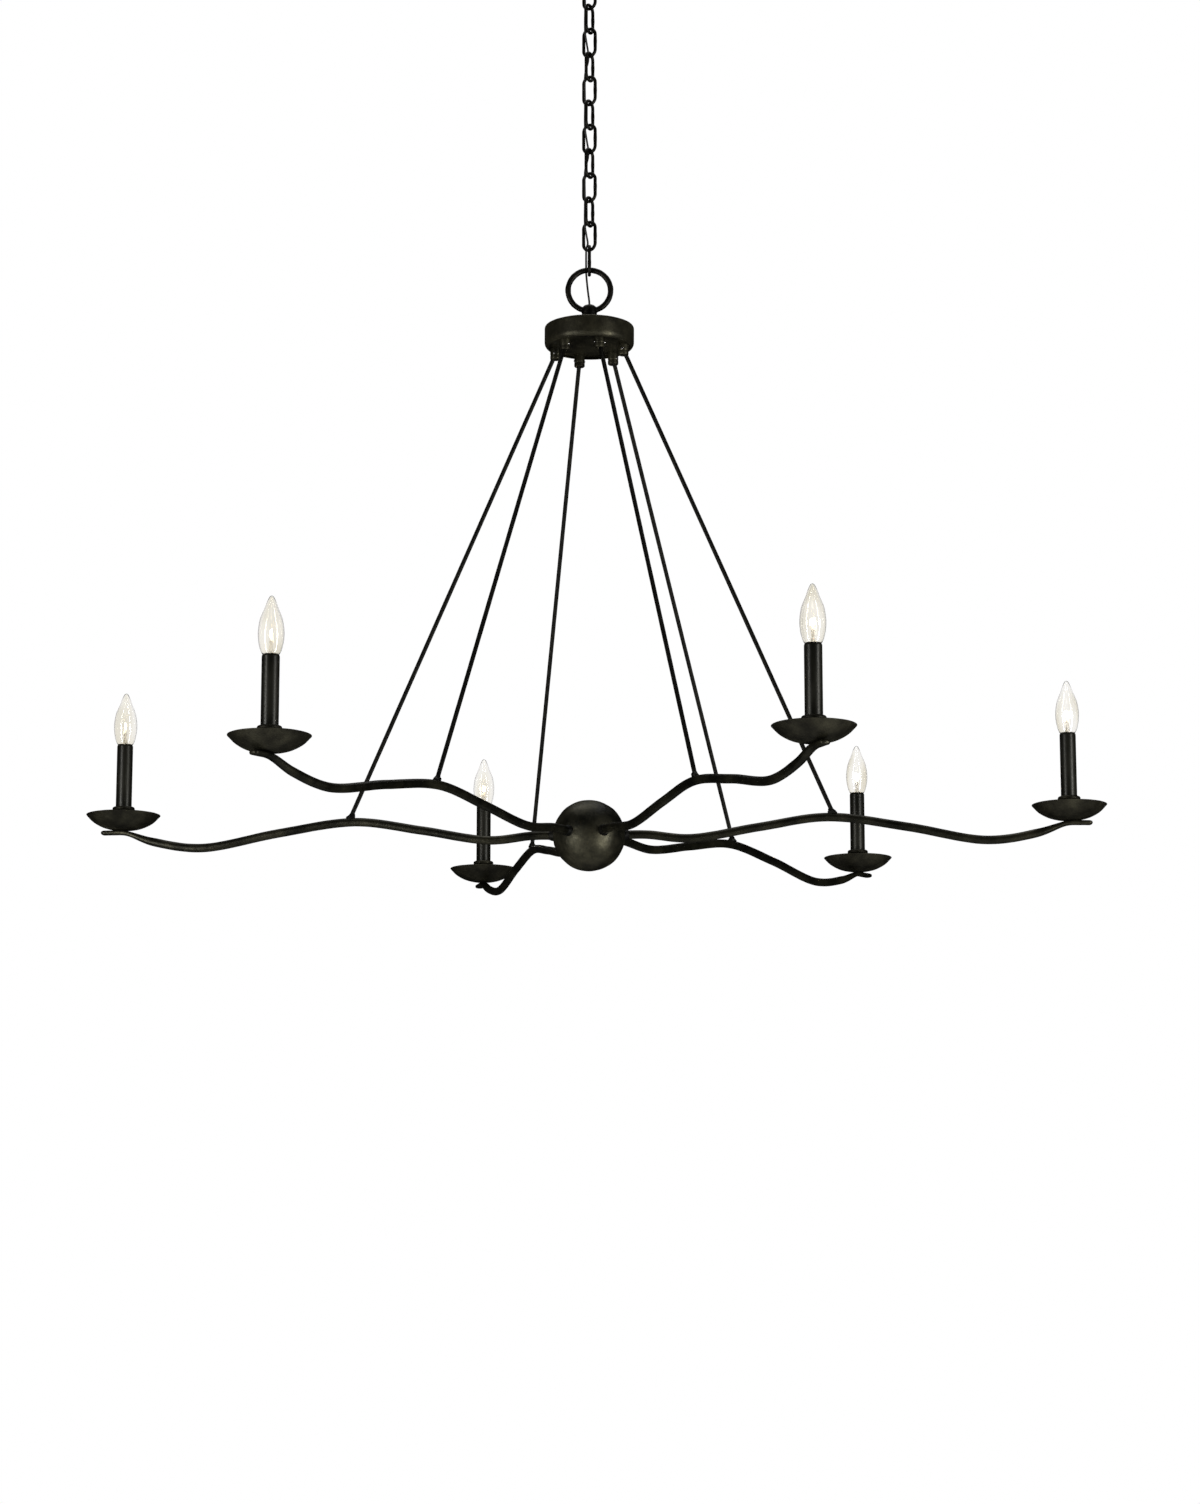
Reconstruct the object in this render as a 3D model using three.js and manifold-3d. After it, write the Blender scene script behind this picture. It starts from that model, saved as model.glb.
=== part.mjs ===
// A six-light chandelier of dark forged iron on a chain.
//
// Six wavy arms spread from a ball at the middle. Each arm ends under a shallow drip pan with a candle
// sleeve and a flame-shaped lamp. Six thin rods carry the arms from a round collector cup, and the cup
// hangs by a ring from a chain of oval links that ends in a ceiling canopy.
//
// Units are millimetres, +Z is up. The origin is in the ceiling plane, on the axis of the chain, so the
// whole lamp is at negative Z.

import * as THREE from "three";
import { mergeVertices } from "three/addons/utils/BufferGeometryUtils.js";
import Module from "manifold-3d";

const wasm = await Module();
wasm.setup();

// ---------------------------------------------------------------- driving dimensions

const GAP = 0.3; // between pieces that touch
const SIDES = 14; // facets round a candle and its pieces

// Canopy and what holds it to the ceiling
const CANOPY_RADIUS = 65;
const CANOPY_DEPTH = 28;
const CANOPY_WALL = 1.5;
const CANOPY_LIP = 6; // width of the flat rim that lies on the ceiling
const CROSSBAR_LENGTH = 100;
const CROSSBAR_WIDTH = 20;
const CROSSBAR_THICKNESS = 2.5;
const CROSSBAR_SLOT = { length: 16, width: 5, centre: 36 };
const CANOPY_COLLAR_RADIUS = 13;
const CANOPY_COLLAR_HEIGHT = 9;

// The canopy loop: a ring on a hollow threaded stem
const STEM_RADIUS = 5;
const STEM_CLEARANCE = 0.5;
const LOOP_WIRE = 6;
const LOOP_RADIUS = 13; // to the middle of the wire
const LOOP_NECK_RADIUS = 7;
const LOOP_NECK_HEIGHT = 3;

// Chain
const LINKS = 12;
const LINK_LENGTH = 48.8; // outside
const LINK_WIDTH = 25; // outside
const LINK_WIRE = 5;
const LINK_GAP = 0.5; // slack between two links
const WIDE_LINK_TURN = -30; // degrees about the chain, the other links stand square to these
const LAST_LINK_TURN = 90; // square to the big ring

// The supply cord: from the canopy down one corner between the crossing links, with a weave now and
// then through a wide link to the corner behind and back beside the next one
const CORD_RADIUS = 1.5;
const CORD_CLEARANCE = 0.9; // between the cord and the links it passes beside
const CORD_LEG_CLEARANCE = 1.1; // between the cord and the leg of a link it goes through
const CORD_HOLE_RADIUS = 2.1;
const CORD_WEAVES = [3, 7]; // links it goes through, besides the last wide one above the ring
const CORD_END = 17; // how far its end hangs in the collector cup

// The big ring and its hub on the collector cup
const RING_WIRE = 8.5;
const RING_RADIUS = 31.85; // to the middle of the wire
const HUB_RADIUS = 11.5;
const RING_SINK = 13.7; // how far the hub's dome stands up round the ring's lowest point
const HUB_HEIGHT = 34.5;
const HUB_STEM_LENGTH = 15;
const LOCKNUT_RADIUS = 9.5;
const LOCKNUT_HEIGHT = 6;

// Collector: a cup, and the plate under it with six sockets for the rods
const CUP_RADIUS = 66.8;
const CUP_HEIGHT = 32;
const CUP_WALL = 1.5;
const CUP_CORNER = 7; // height of the rolled-in lower edge
const CUP_LIP_WIDTH = 6; // how far the lower edge is rolled in
const PLATE_THICKNESS = 2.5;
const PLATE_OVERLAP = 1.7; // how far the plate's edge lies on the cup's lip
const COUPLER_RADIUS = 7.9;
const COUPLER_INSET = 0.9; // between the couplers and the cup's lip
const COUPLER_LENGTH = 18.5;
const COUPLER_TURN = -13.5; // degrees, the first coupler from +X
const COUPLER_PIN_HEIGHT = 9; // from the coupler's lower end to its cross pin

// Rods
const ROD_RADIUS = 3.175;
const ROD_INSIDE = 4; // how far a rod runs on above the cross pin
const ROD_FOOT_RADIUS = 355; // from the axis to where a rod stands on its arm

// The ball that the arms grow from
const COLLECTOR_TO_BALL = 768; // cup's top to the middle of the ball
const BALL_RADIUS = 53.5;
const BALL_FLATTENING = 0.97;
const BALL_WALL = 2.5;
const ARM_INSIDE = 12; // how deep an arm's end is in the ball

// Arms: heights are from the middle of the ball, to the middle of the tube
const ARM_RADIUS = 6.35;
const ARM_REACH = 700; // axis to candle
const ARM_TAIL = 33; // on past the candle
const ARM_ROOT_HEIGHT = 1;
const ARM_DIP = { radius: 147, height: -3.8 };
const ARM_CREST = { radius: 348, height: 27.5 };
const ARM_TROUGH = { setback: 120, height: -6.1 }; // setback is the distance before the candle
const ARM_RISE = { setback: 46, height: 4.8 };
const ARM_TAIL_HEIGHT = 19.5;
const TAIL_THICKNESS = 7; // the end is hammered flat
const TAIL_WIDENING = 1.12;
const FLAT_LENGTH = 55; // how far before the candle the flattening starts

// Candle: heights are from the arm's flat seat
const PAN_RADIUS = 54.7;
const PAN_DEPTH = 22;
const PAN_WALL = 1.3;
const CANDLE_CUP_WALL = 1.4;
const CANDLE_CUP_BEAD = 3; // how far the bead round its mouth stands out
const CANDLE_CUP_HEIGHT = 35;
const CANDLE_CUP_FLOOR = 4;
const SLEEVE_RADIUS = 11.75;
const SLEEVE_WALL = 1;
const SLEEVE_CLEARANCE = 0.35;
const SLEEVE_TOP = 128.5;
const SOCKET_CLEARANCE = 1.15; // inside the sleeve
const SOCKET_HEIGHT = 30;
const SOCKET_SETBACK = 5; // below the sleeve's top
const SOCKET_STEM_RADIUS = 4.5;
const BULB_BASE_RADIUS = 5.9;
const BULB_BASE_LENGTH = 22;
const BULB_BASE_CLEARANCE = 0.6;
const BULB_NECK_INSET = 1.95; // from the sleeve's outside to the glass at the sleeve's rim
const BULB_NECK_CLEARANCE = 0.45;
const BULB_RADIUS = 17.2;
const BULB_HEIGHT = 78.2; // above the sleeve's rim
const BULB_WAIST = 30; // height of its widest place

// Each arm with its own direction, in degrees from +X: the six are welded on by eye, so the
// spaces between them differ a little. coupler counts the sockets in the plate from COUPLER_TURN.
const ARMS = [
  { side: "right", azimuth: 0, coupler: 0 },
  { side: "rear_right", azimuth: 51.5, coupler: 1 },
  { side: "rear_left", azimuth: 104.5, coupler: 2 },
  { side: "left", azimuth: 171.5, coupler: 3 },
  { side: "front_left", azimuth: 234, coupler: 4 },
  { side: "front_right", azimuth: 294, coupler: 5 },
];

// ---------------------------------------------------------------- finishes

const forgedIron = finish(0x26241d, 0.55, 0.75);
const chainIron = finish(0x1d1c17, 0.5, 0.8);
const sleevePaint = finish(0x20201a, 0.6, 0.3);
const bracketSteel = finish(0xb5b6b3, 0.35, 0.95);
const brassNut = finish(0xb0904a, 0.35, 0.95);
const socketPlastic = finish(0x17130f, 0.5, 0);
const lampGlass = finish(0xfff0d2, 0.05, 0);
const cordJacket = finish(0x121210, 0.7, 0);

function finish(color, roughness, metalness) {
  return new THREE.MeshStandardMaterial({ color, roughness, metalness });
}

// ---------------------------------------------------------------- helpers

const radians = THREE.MathUtils.degToRad;

function named(name, geometry, material) {
  const mesh = new THREE.Mesh(geometry, material);
  mesh.name = name;
  return mesh;
}

// A turned piece: the profile is pairs of radius and height, anticlockwise in that plane.
function turned(profile, sides) {
  const points = profile.map(([radius, height]) => new THREE.Vector2(radius, height));
  return new THREE.LatheGeometry(points, sides).rotateX(Math.PI / 2);
}

// Radius of a faceted hole that a round piece passes with the usual gap.
function holeFor(radius, sides) {
  return (radius + GAP) / Math.cos(Math.PI / sides);
}

function closed(profile) {
  return [...profile, profile[0]];
}

// A bar of round section that follows a curve.
function bar(curve, radius, sides, steps) {
  const section = new THREE.Shape();
  for (let i = 0; i < sides; i++) {
    const angle = (2 * Math.PI * i) / sides;
    const corner = [radius * Math.cos(angle), radius * Math.sin(angle)];
    if (i === 0) section.moveTo(...corner);
    else section.lineTo(...corner);
  }
  return new THREE.ExtrudeGeometry(section, { steps, extrudePath: curve });
}

// A link or a ring of round wire that stands in the X-Z plane. A straight run opens it to an oval.
function wireRing(radius, wire, straight, sides, steps) {
  const ring = new THREE.TorusGeometry(radius, wire / 2, sides, steps);
  ring.rotateZ(Math.PI / steps).rotateX(Math.PI / 2);
  const place = ring.getAttribute("position");
  for (let i = 0; i < place.count; i++) {
    const height = place.getZ(i);
    place.setZ(i, height + (Math.sign(height) * straight) / 2);
  }
  return ring;
}

// A straight round rod between two points.
function rodBetween(from, to, radius, sides) {
  const along = new THREE.Vector3().subVectors(to, from);
  const geometry = new THREE.CylinderGeometry(radius, radius, along.length(), sides);
  const turn = new THREE.Quaternion().setFromUnitVectors(
    new THREE.Vector3(0, 1, 0),
    along.clone().normalize(),
  );
  const middle = new THREE.Vector3().addVectors(from, to).multiplyScalar(0.5);
  return geometry.applyQuaternion(turn).translate(middle.x, middle.y, middle.z);
}

function solidOf(geometry) {
  const bare = geometry.clone();
  bare.deleteAttribute("normal");
  bare.deleteAttribute("uv");
  const merged = mergeVertices(bare, 1e-3);
  return new wasm.Manifold(
    new wasm.Mesh({
      numProp: 3,
      vertProperties: merged.getAttribute("position").array,
      triVerts: new Uint32Array(merged.index.array),
    }),
  );
}

function geometryOf(solid) {
  const mesh = solid.getMesh();
  const geometry = new THREE.BufferGeometry();
  geometry.setAttribute("position", new THREE.BufferAttribute(mesh.vertProperties, 3));
  geometry.setIndex(new THREE.BufferAttribute(mesh.triVerts, 1));
  geometry.computeVertexNormals();
  return geometry;
}

// ---------------------------------------------------------------- heights, from the ceiling down

const canopyBottom = -CANOPY_DEPTH;
const collarTop = canopyBottom - GAP;
const collarBottom = collarTop - CANOPY_COLLAR_HEIGHT;
const neckTop = collarBottom - GAP;
const loopCentre = neckTop - LOOP_NECK_HEIGHT - LOOP_WIRE / 2 - LOOP_RADIUS;
const loopSeat = loopCentre - LOOP_RADIUS; // middle of the loop's lowest wire

const linkHalf = (LINK_LENGTH - LINK_WIRE) / 2; // link's middle to the middle of its end wire
const linkStep = 2 * linkHalf - LINK_WIRE - LINK_GAP;
const firstLink = loopSeat + (LOOP_WIRE + LINK_WIRE) / 2 + LINK_GAP - linkHalf;
const linkMiddle = (number) => firstLink - (number - 1) * linkStep;
const ringTop = linkMiddle(LINKS) - linkHalf + (LINK_WIRE + RING_WIRE) / 2 + LINK_GAP;
const ringCentre = ringTop - RING_RADIUS;
const hubTop = ringCentre - RING_RADIUS - RING_WIRE / 2 + RING_SINK;
const hubBottom = hubTop - HUB_HEIGHT;
const cupTop = hubBottom - GAP;
const cupBottom = cupTop - CUP_HEIGHT;
const plateBottom = cupBottom + CUP_WALL + 2;
const couplerBottom = plateBottom - COUPLER_LENGTH;
const ballCentre = cupTop - COLLECTOR_TO_BALL;

const cupLipRadius = CUP_RADIUS - CUP_LIP_WIDTH;
const couplerCircle = cupLipRadius - COUPLER_INSET - COUPLER_RADIUS;

// ---------------------------------------------------------------- arms

// The middle line of one arm in its own upright plane: x is the distance from the chandelier's axis.
const trough = ARM_REACH - ARM_TROUGH.setback;
const armCurve = new THREE.CatmullRomCurve3(
  [
    [BALL_RADIUS - ARM_INSIDE, ARM_ROOT_HEIGHT],
    [BALL_RADIUS + 30, ARM_ROOT_HEIGHT + 0.6],
    [ARM_DIP.radius, ARM_DIP.height],
    [(ARM_DIP.radius + ARM_CREST.radius) / 2, (ARM_DIP.height + ARM_CREST.height) / 2 + 1],
    [ARM_CREST.radius, ARM_CREST.height],
    [(ARM_CREST.radius + trough) / 2, (ARM_CREST.height + ARM_TROUGH.height) / 2 + 2.5],
    [trough, ARM_TROUGH.height],
    [ARM_REACH - ARM_RISE.setback, ARM_RISE.height],
    [ARM_REACH - 4, ARM_TAIL_HEIGHT - 0.9],
    [ARM_REACH + ARM_TAIL / 2, ARM_TAIL_HEIGHT],
    [ARM_REACH + ARM_TAIL, ARM_TAIL_HEIGHT],
  ].map(([radius, height]) => new THREE.Vector3(radius, 0, height)),
);
const armLine = armCurve.getSpacedPoints(400);

// Height of the arm's middle line at a distance from the axis.
function armHeight(radius) {
  const next = armLine.findIndex((point) => point.x >= radius);
  if (next < 0) return armLine[armLine.length - 1].z;
  if (next === 0) return armLine[0].z;
  const before = armLine[next - 1];
  const after = armLine[next];
  const share = (radius - before.x) / (after.x - before.x);
  return before.z + share * (after.z - before.z);
}

// How far the section is hammered flat, from 0 on the round bar to 1 at the tail.
function flatness(radius) {
  return THREE.MathUtils.smoothstep(radius, ARM_REACH - FLAT_LENGTH, ARM_REACH);
}

function armGeometry() {
  const arm = bar(armCurve, ARM_RADIUS, 8, 30);
  const place = arm.getAttribute("position");
  const squeeze = TAIL_THICKNESS / (2 * ARM_RADIUS);
  for (let i = 0; i < place.count; i++) {
    const radius = place.getX(i);
    const middle = armHeight(radius);
    const flat = flatness(radius);
    const thin = THREE.MathUtils.lerp(1, squeeze, flat);
    place.setY(i, place.getY(i) * THREE.MathUtils.lerp(1, TAIL_WIDENING, flat));
    place.setZ(i, middle + (place.getZ(i) - middle) * thin);
  }
  return arm;
}

const seatHeight = ARM_TAIL_HEIGHT + TAIL_THICKNESS / 2 + GAP;

// ---------------------------------------------------------------- candles

function dripPanGeometry() {
  const cupBore = SLEEVE_RADIUS + SLEEVE_CLEARANCE;
  const cup = cupBore + CANDLE_CUP_WALL;
  const bead = cup + CANDLE_CUP_BEAD;
  const stemBore = SOCKET_STEM_RADIUS + STEM_CLEARANCE;
  return turned(
    closed([
      [stemBore, 0],
      [PAN_RADIUS * 0.3, PAN_DEPTH * 0.03],
      [PAN_RADIUS * 0.58, PAN_DEPTH * 0.22],
      [PAN_RADIUS * 0.82, PAN_DEPTH * 0.56],
      [PAN_RADIUS, PAN_DEPTH],
      [PAN_RADIUS - 0.5, PAN_DEPTH + 0.7],
      [PAN_RADIUS * 0.8, PAN_DEPTH * 0.56 + PAN_WALL],
      [PAN_RADIUS * 0.57, PAN_DEPTH * 0.22 + PAN_WALL],
      [cup, PAN_DEPTH * 0.03 + PAN_WALL],
      [cup, CANDLE_CUP_HEIGHT - 7],
      [bead, CANDLE_CUP_HEIGHT - 5],
      [bead, CANDLE_CUP_HEIGHT - 1.5],
      [bead - 1.5, CANDLE_CUP_HEIGHT],
      [cupBore, CANDLE_CUP_HEIGHT],
      [cupBore, CANDLE_CUP_FLOOR],
      [stemBore, CANDLE_CUP_FLOOR],
    ]),
    SIDES,
  );
}

const sleeveFoot = CANDLE_CUP_FLOOR + GAP;
const bulbNeck = SLEEVE_RADIUS - BULB_NECK_INSET;
const sleeveRim = bulbNeck + BULB_NECK_CLEARANCE;

function sleeveGeometry() {
  const inside = SLEEVE_RADIUS - SLEEVE_WALL;
  return turned(
    closed([
      [inside, sleeveFoot],
      [SLEEVE_RADIUS, sleeveFoot],
      [SLEEVE_RADIUS, SLEEVE_TOP - 1.3],
      [(SLEEVE_RADIUS + sleeveRim) / 2, SLEEVE_TOP],
      [sleeveRim, SLEEVE_TOP],
      [inside, SLEEVE_TOP - 2],
    ]),
    SIDES,
  );
}

const socketTop = SLEEVE_TOP - SOCKET_SETBACK;

function socketGeometry() {
  const bore = BULB_BASE_RADIUS + BULB_BASE_CLEARANCE;
  const boreFloor = socketTop - BULB_BASE_LENGTH - 2;
  const radius = SLEEVE_RADIUS - SLEEVE_WALL - SOCKET_CLEARANCE;
  return turned(
    [
      [0, 0],
      [SOCKET_STEM_RADIUS, 0],
      [SOCKET_STEM_RADIUS, socketTop - SOCKET_HEIGHT],
      [radius, socketTop - SOCKET_HEIGHT + 2],
      [radius, socketTop],
      [bore, socketTop],
      [bore, boreFloor],
      [0, boreFloor],
    ],
    SIDES,
  );
}

function bulbGeometry() {
  const glassFoot = SLEEVE_TOP - SOCKET_SETBACK + GAP;
  return turned(
    [
      [0, glassFoot - BULB_BASE_LENGTH],
      [BULB_BASE_RADIUS * 0.5, glassFoot - BULB_BASE_LENGTH],
      [BULB_BASE_RADIUS, glassFoot - BULB_BASE_LENGTH + 3],
      [BULB_BASE_RADIUS, glassFoot],
      [bulbNeck * 0.86, glassFoot + 1],
      [bulbNeck, SLEEVE_TOP],
      [BULB_RADIUS * 0.78, SLEEVE_TOP + BULB_WAIST * 0.17],
      [BULB_RADIUS, SLEEVE_TOP + BULB_WAIST],
      [BULB_RADIUS * 0.83, SLEEVE_TOP + BULB_HEIGHT * 0.62],
      [BULB_RADIUS * 0.42, SLEEVE_TOP + BULB_HEIGHT * 0.86],
      [BULB_RADIUS * 0.15, SLEEVE_TOP + BULB_HEIGHT * 0.98],
      [0, SLEEVE_TOP + BULB_HEIGHT],
    ],
    SIDES,
  );
}

// One arm with its drip pan, sleeve, socket and lamp, in the arm's own frame.
function armGroup({ side, azimuth }) {
  const group = new THREE.Group();
  group.position.z = ballCentre;
  group.rotation.z = radians(azimuth);
  group.add(named(`arm_${side}`, armGeometry(), forgedIron));
  const candle = new THREE.Group();
  candle.position.set(ARM_REACH, 0, seatHeight);
  candle.add(named(`drip_pan_${side}`, dripPanGeometry(), forgedIron));
  candle.add(named(`candle_sleeve_${side}`, sleeveGeometry(), sleevePaint));
  candle.add(named(`socket_${side}`, socketGeometry(), socketPlastic));
  candle.add(named(`bulb_${side}`, bulbGeometry(), lampGlass));
  group.add(candle);
  return group;
}

// ---------------------------------------------------------------- rods

// The two ends of a rod: inside its coupler, just past the cross pin, and on the crest of its arm.
function rodEnds({ azimuth, coupler }) {
  const socketAngle = radians(COUPLER_TURN + (360 / ARMS.length) * coupler);
  const armAngle = radians(azimuth);
  const pin = new THREE.Vector3(
    couplerCircle * Math.cos(socketAngle),
    couplerCircle * Math.sin(socketAngle),
    couplerBottom + COUPLER_PIN_HEIGHT,
  );
  const crest = new THREE.Vector3(
    ROD_FOOT_RADIUS * Math.cos(armAngle),
    ROD_FOOT_RADIUS * Math.sin(armAngle),
    ballCentre + armHeight(ROD_FOOT_RADIUS) + ARM_RADIUS,
  );
  const down = new THREE.Vector3().subVectors(crest, pin).normalize();
  const lean = Math.hypot(down.x, down.y);
  const clear = (ROD_RADIUS * lean + GAP) / Math.abs(down.z) + GAP;
  return {
    top: pin.clone().addScaledVector(down, -ROD_INSIDE),
    foot: crest.clone().addScaledVector(down, -clear),
    down,
  };
}

function rodGeometry(arm) {
  const { top, foot } = rodEnds(arm);
  return rodBetween(top, foot, ROD_RADIUS, 8);
}

// ---------------------------------------------------------------- ball

function ballGeometry() {
  const shell = (radius) =>
    new THREE.SphereGeometry(radius, 16, 10).rotateX(Math.PI / 2).scale(1, 1, BALL_FLATTENING);
  let ball = solidOf(shell(BALL_RADIUS)).subtract(solidOf(shell(BALL_RADIUS - BALL_WALL)));
  for (const { azimuth } of ARMS) {
    const start = new THREE.Vector3(BALL_RADIUS / 2, 0, ARM_ROOT_HEIGHT);
    const end = new THREE.Vector3(BALL_RADIUS + 5, 0, ARM_ROOT_HEIGHT);
    const hole = rodBetween(start, end, holeFor(ARM_RADIUS, 8), 8);
    ball = ball.subtract(solidOf(hole.rotateZ(radians(azimuth))));
  }
  return geometryOf(ball);
}

// ---------------------------------------------------------------- collector

function collectorCupGeometry() {
  const inside = CUP_RADIUS - CUP_WALL;
  const bore = STEM_RADIUS + STEM_CLEARANCE;
  return turned(
    closed([
      [bore, cupTop - CUP_WALL],
      [inside, cupTop - CUP_WALL],
      [inside, cupBottom + CUP_CORNER],
      [cupLipRadius + 1.5, cupBottom + CUP_WALL + 0.4],
      [cupLipRadius, cupBottom + CUP_WALL],
      [cupLipRadius, cupBottom],
      [CUP_RADIUS - 2, cupBottom + 2.5],
      [CUP_RADIUS, cupBottom + CUP_CORNER],
      [CUP_RADIUS, cupTop - 1.5],
      [CUP_RADIUS - 1.5, cupTop],
      [bore, cupTop],
    ]),
    24,
  );
}

function collectorPlateGeometry() {
  const plateRadius = cupLipRadius + PLATE_OVERLAP;
  const disc = new THREE.CylinderGeometry(plateRadius, plateRadius, PLATE_THICKNESS, 24);
  disc.rotateX(Math.PI / 2).translate(0, 0, plateBottom + PLATE_THICKNESS / 2);
  let plate = solidOf(disc);
  for (const arm of ARMS) {
    const angle = radians(COUPLER_TURN + (360 / ARMS.length) * arm.coupler);
    const height = COUPLER_LENGTH + PLATE_THICKNESS / 2;
    const coupler = new THREE.CylinderGeometry(COUPLER_RADIUS, COUPLER_RADIUS, height, 12);
    coupler.rotateX(Math.PI / 2).translate(couplerCircle, 0, couplerBottom + height / 2);
    plate = plate.add(solidOf(coupler.rotateZ(angle)));
  }
  for (const arm of ARMS) {
    const { top, down } = rodEnds(arm);
    const above = top.clone().addScaledVector(down, -1);
    const below = top.clone().addScaledVector(down, 3 * COUPLER_LENGTH);
    plate = plate.subtract(solidOf(rodBetween(above, below, holeFor(ROD_RADIUS, 8), 8)));
  }
  return geometryOf(plate);
}

// The big ring and its hub are one casting, with a hole for the cord all the way down its stem.
function topLoopGeometry() {
  const ring = wireRing(RING_RADIUS, RING_WIRE, 0, 8, 24).translate(0, 0, ringCentre);
  const hub = turned(
    [
      [0, cupTop - HUB_STEM_LENGTH],
      [STEM_RADIUS, cupTop - HUB_STEM_LENGTH],
      [STEM_RADIUS, hubBottom],
      [HUB_RADIUS, hubBottom],
      [HUB_RADIUS, hubTop - 7],
      [HUB_RADIUS * 0.82, hubTop - 2.6],
      [HUB_RADIUS * 0.45, hubTop - 0.4],
      [0, hubTop],
    ],
    16,
  );
  const hole = rodBetween(
    new THREE.Vector3(0, 0, cupTop - HUB_STEM_LENGTH - 1),
    new THREE.Vector3(0, 0, hubTop + 1),
    CORD_HOLE_RADIUS,
    8,
  );
  return geometryOf(solidOf(ring).add(solidOf(hub)).subtract(solidOf(hole)));
}

function nutGeometry() {
  const top = cupTop - CUP_WALL - GAP;
  const bore = holeFor(STEM_RADIUS, 6);
  const profile = [
    [bore, top - LOCKNUT_HEIGHT],
    [LOCKNUT_RADIUS, top - LOCKNUT_HEIGHT],
    [LOCKNUT_RADIUS, top],
    [bore, top],
  ];
  return turned(closed(profile), 6);
}

// ---------------------------------------------------------------- chain

function linkGroup(number) {
  const bend = (LINK_WIDTH - LINK_WIRE) / 2;
  const straight = LINK_LENGTH - LINK_WIDTH;
  const wide = number % 2 === 1;
  const turn = number === LINKS ? LAST_LINK_TURN : WIDE_LINK_TURN + (wide ? 0 : 90);
  const name = `chain_link_${String(number).padStart(2, "0")}`;
  const link = named(name, wireRing(bend, LINK_WIRE, straight, 8, 14), chainIron);
  link.position.z = linkMiddle(number);
  link.rotation.z = radians(turn);
  return link;
}

// ---------------------------------------------------------------- canopy

function canopyGeometry() {
  const bore = STEM_RADIUS + STEM_CLEARANCE;
  const inside = CANOPY_RADIUS - CANOPY_WALL;
  return turned(
    closed([
      [bore, canopyBottom],
      [CANOPY_RADIUS * 0.28, canopyBottom],
      [CANOPY_RADIUS * 0.42, canopyBottom + 5],
      [CANOPY_RADIUS * 0.78, canopyBottom + 9],
      [CANOPY_RADIUS * 0.95, canopyBottom + 15],
      [CANOPY_RADIUS, canopyBottom + CANOPY_DEPTH - 3],
      [CANOPY_RADIUS, 0],
      [CANOPY_RADIUS - CANOPY_LIP, 0],
      [CANOPY_RADIUS - CANOPY_LIP, -CANOPY_WALL],
      [inside, canopyBottom + CANOPY_DEPTH - 4],
      [inside * 0.94, canopyBottom + 16.5],
      [inside * 0.77, canopyBottom + 10.8],
      [CANOPY_RADIUS * 0.4, canopyBottom + 6.8],
      [CANOPY_RADIUS * 0.26, canopyBottom + CANOPY_WALL],
      [bore, canopyBottom + CANOPY_WALL],
    ]),
    20,
  );
}

function crossbarGeometry() {
  const middle = -CROSSBAR_THICKNESS / 2;
  const strap = new THREE.BoxGeometry(CROSSBAR_LENGTH, CROSSBAR_WIDTH, CROSSBAR_THICKNESS);
  let crossbar = solidOf(strap.translate(0, 0, middle));
  const through = 2 * CROSSBAR_THICKNESS;
  for (const sign of [-1, 1]) {
    const { length, width, centre } = CROSSBAR_SLOT;
    const slot = new THREE.BoxGeometry(length, width, through).translate(sign * centre, 0, middle);
    crossbar = crossbar.subtract(solidOf(slot));
  }
  const bore = new THREE.CylinderGeometry(
    STEM_RADIUS + STEM_CLEARANCE,
    STEM_RADIUS + STEM_CLEARANCE,
    through,
    16,
  );
  crossbar = crossbar.subtract(solidOf(bore.rotateX(Math.PI / 2).translate(0, 0, middle)));
  return geometryOf(crossbar);
}

function collarGeometry() {
  const bore = STEM_RADIUS + STEM_CLEARANCE;
  return turned(
    closed([
      [bore, collarBottom],
      [CANOPY_COLLAR_RADIUS - 1.5, collarBottom],
      [CANOPY_COLLAR_RADIUS, collarBottom + 1.5],
      [CANOPY_COLLAR_RADIUS, collarTop],
      [bore, collarTop],
    ]),
    18,
  );
}

// The canopy loop: its stem runs up through the collar and the canopy into the crossbar.
function canopyLoopGeometry() {
  const ring = wireRing(LOOP_RADIUS, LOOP_WIRE, 0, 8, 16);
  ring.rotateZ(radians(WIDE_LINK_TURN + 90)).translate(0, 0, loopCentre);
  const stem = turned(
    [
      [0, loopCentre + LOOP_RADIUS],
      [LOOP_NECK_RADIUS * 0.8, loopCentre + LOOP_RADIUS],
      [LOOP_NECK_RADIUS, neckTop - 1],
      [LOOP_NECK_RADIUS, neckTop],
      [STEM_RADIUS, neckTop],
      [STEM_RADIUS, -GAP],
      [0, -GAP],
    ],
    16,
  );
  const hole = rodBetween(
    new THREE.Vector3(0, 0, loopCentre + LOOP_RADIUS - LOOP_WIRE),
    new THREE.Vector3(0, 0, 1),
    CORD_HOLE_RADIUS,
    8,
  );
  return geometryOf(solidOf(ring).add(solidOf(stem)).subtract(solidOf(hole)));
}

// ---------------------------------------------------------------- supply cord

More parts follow.
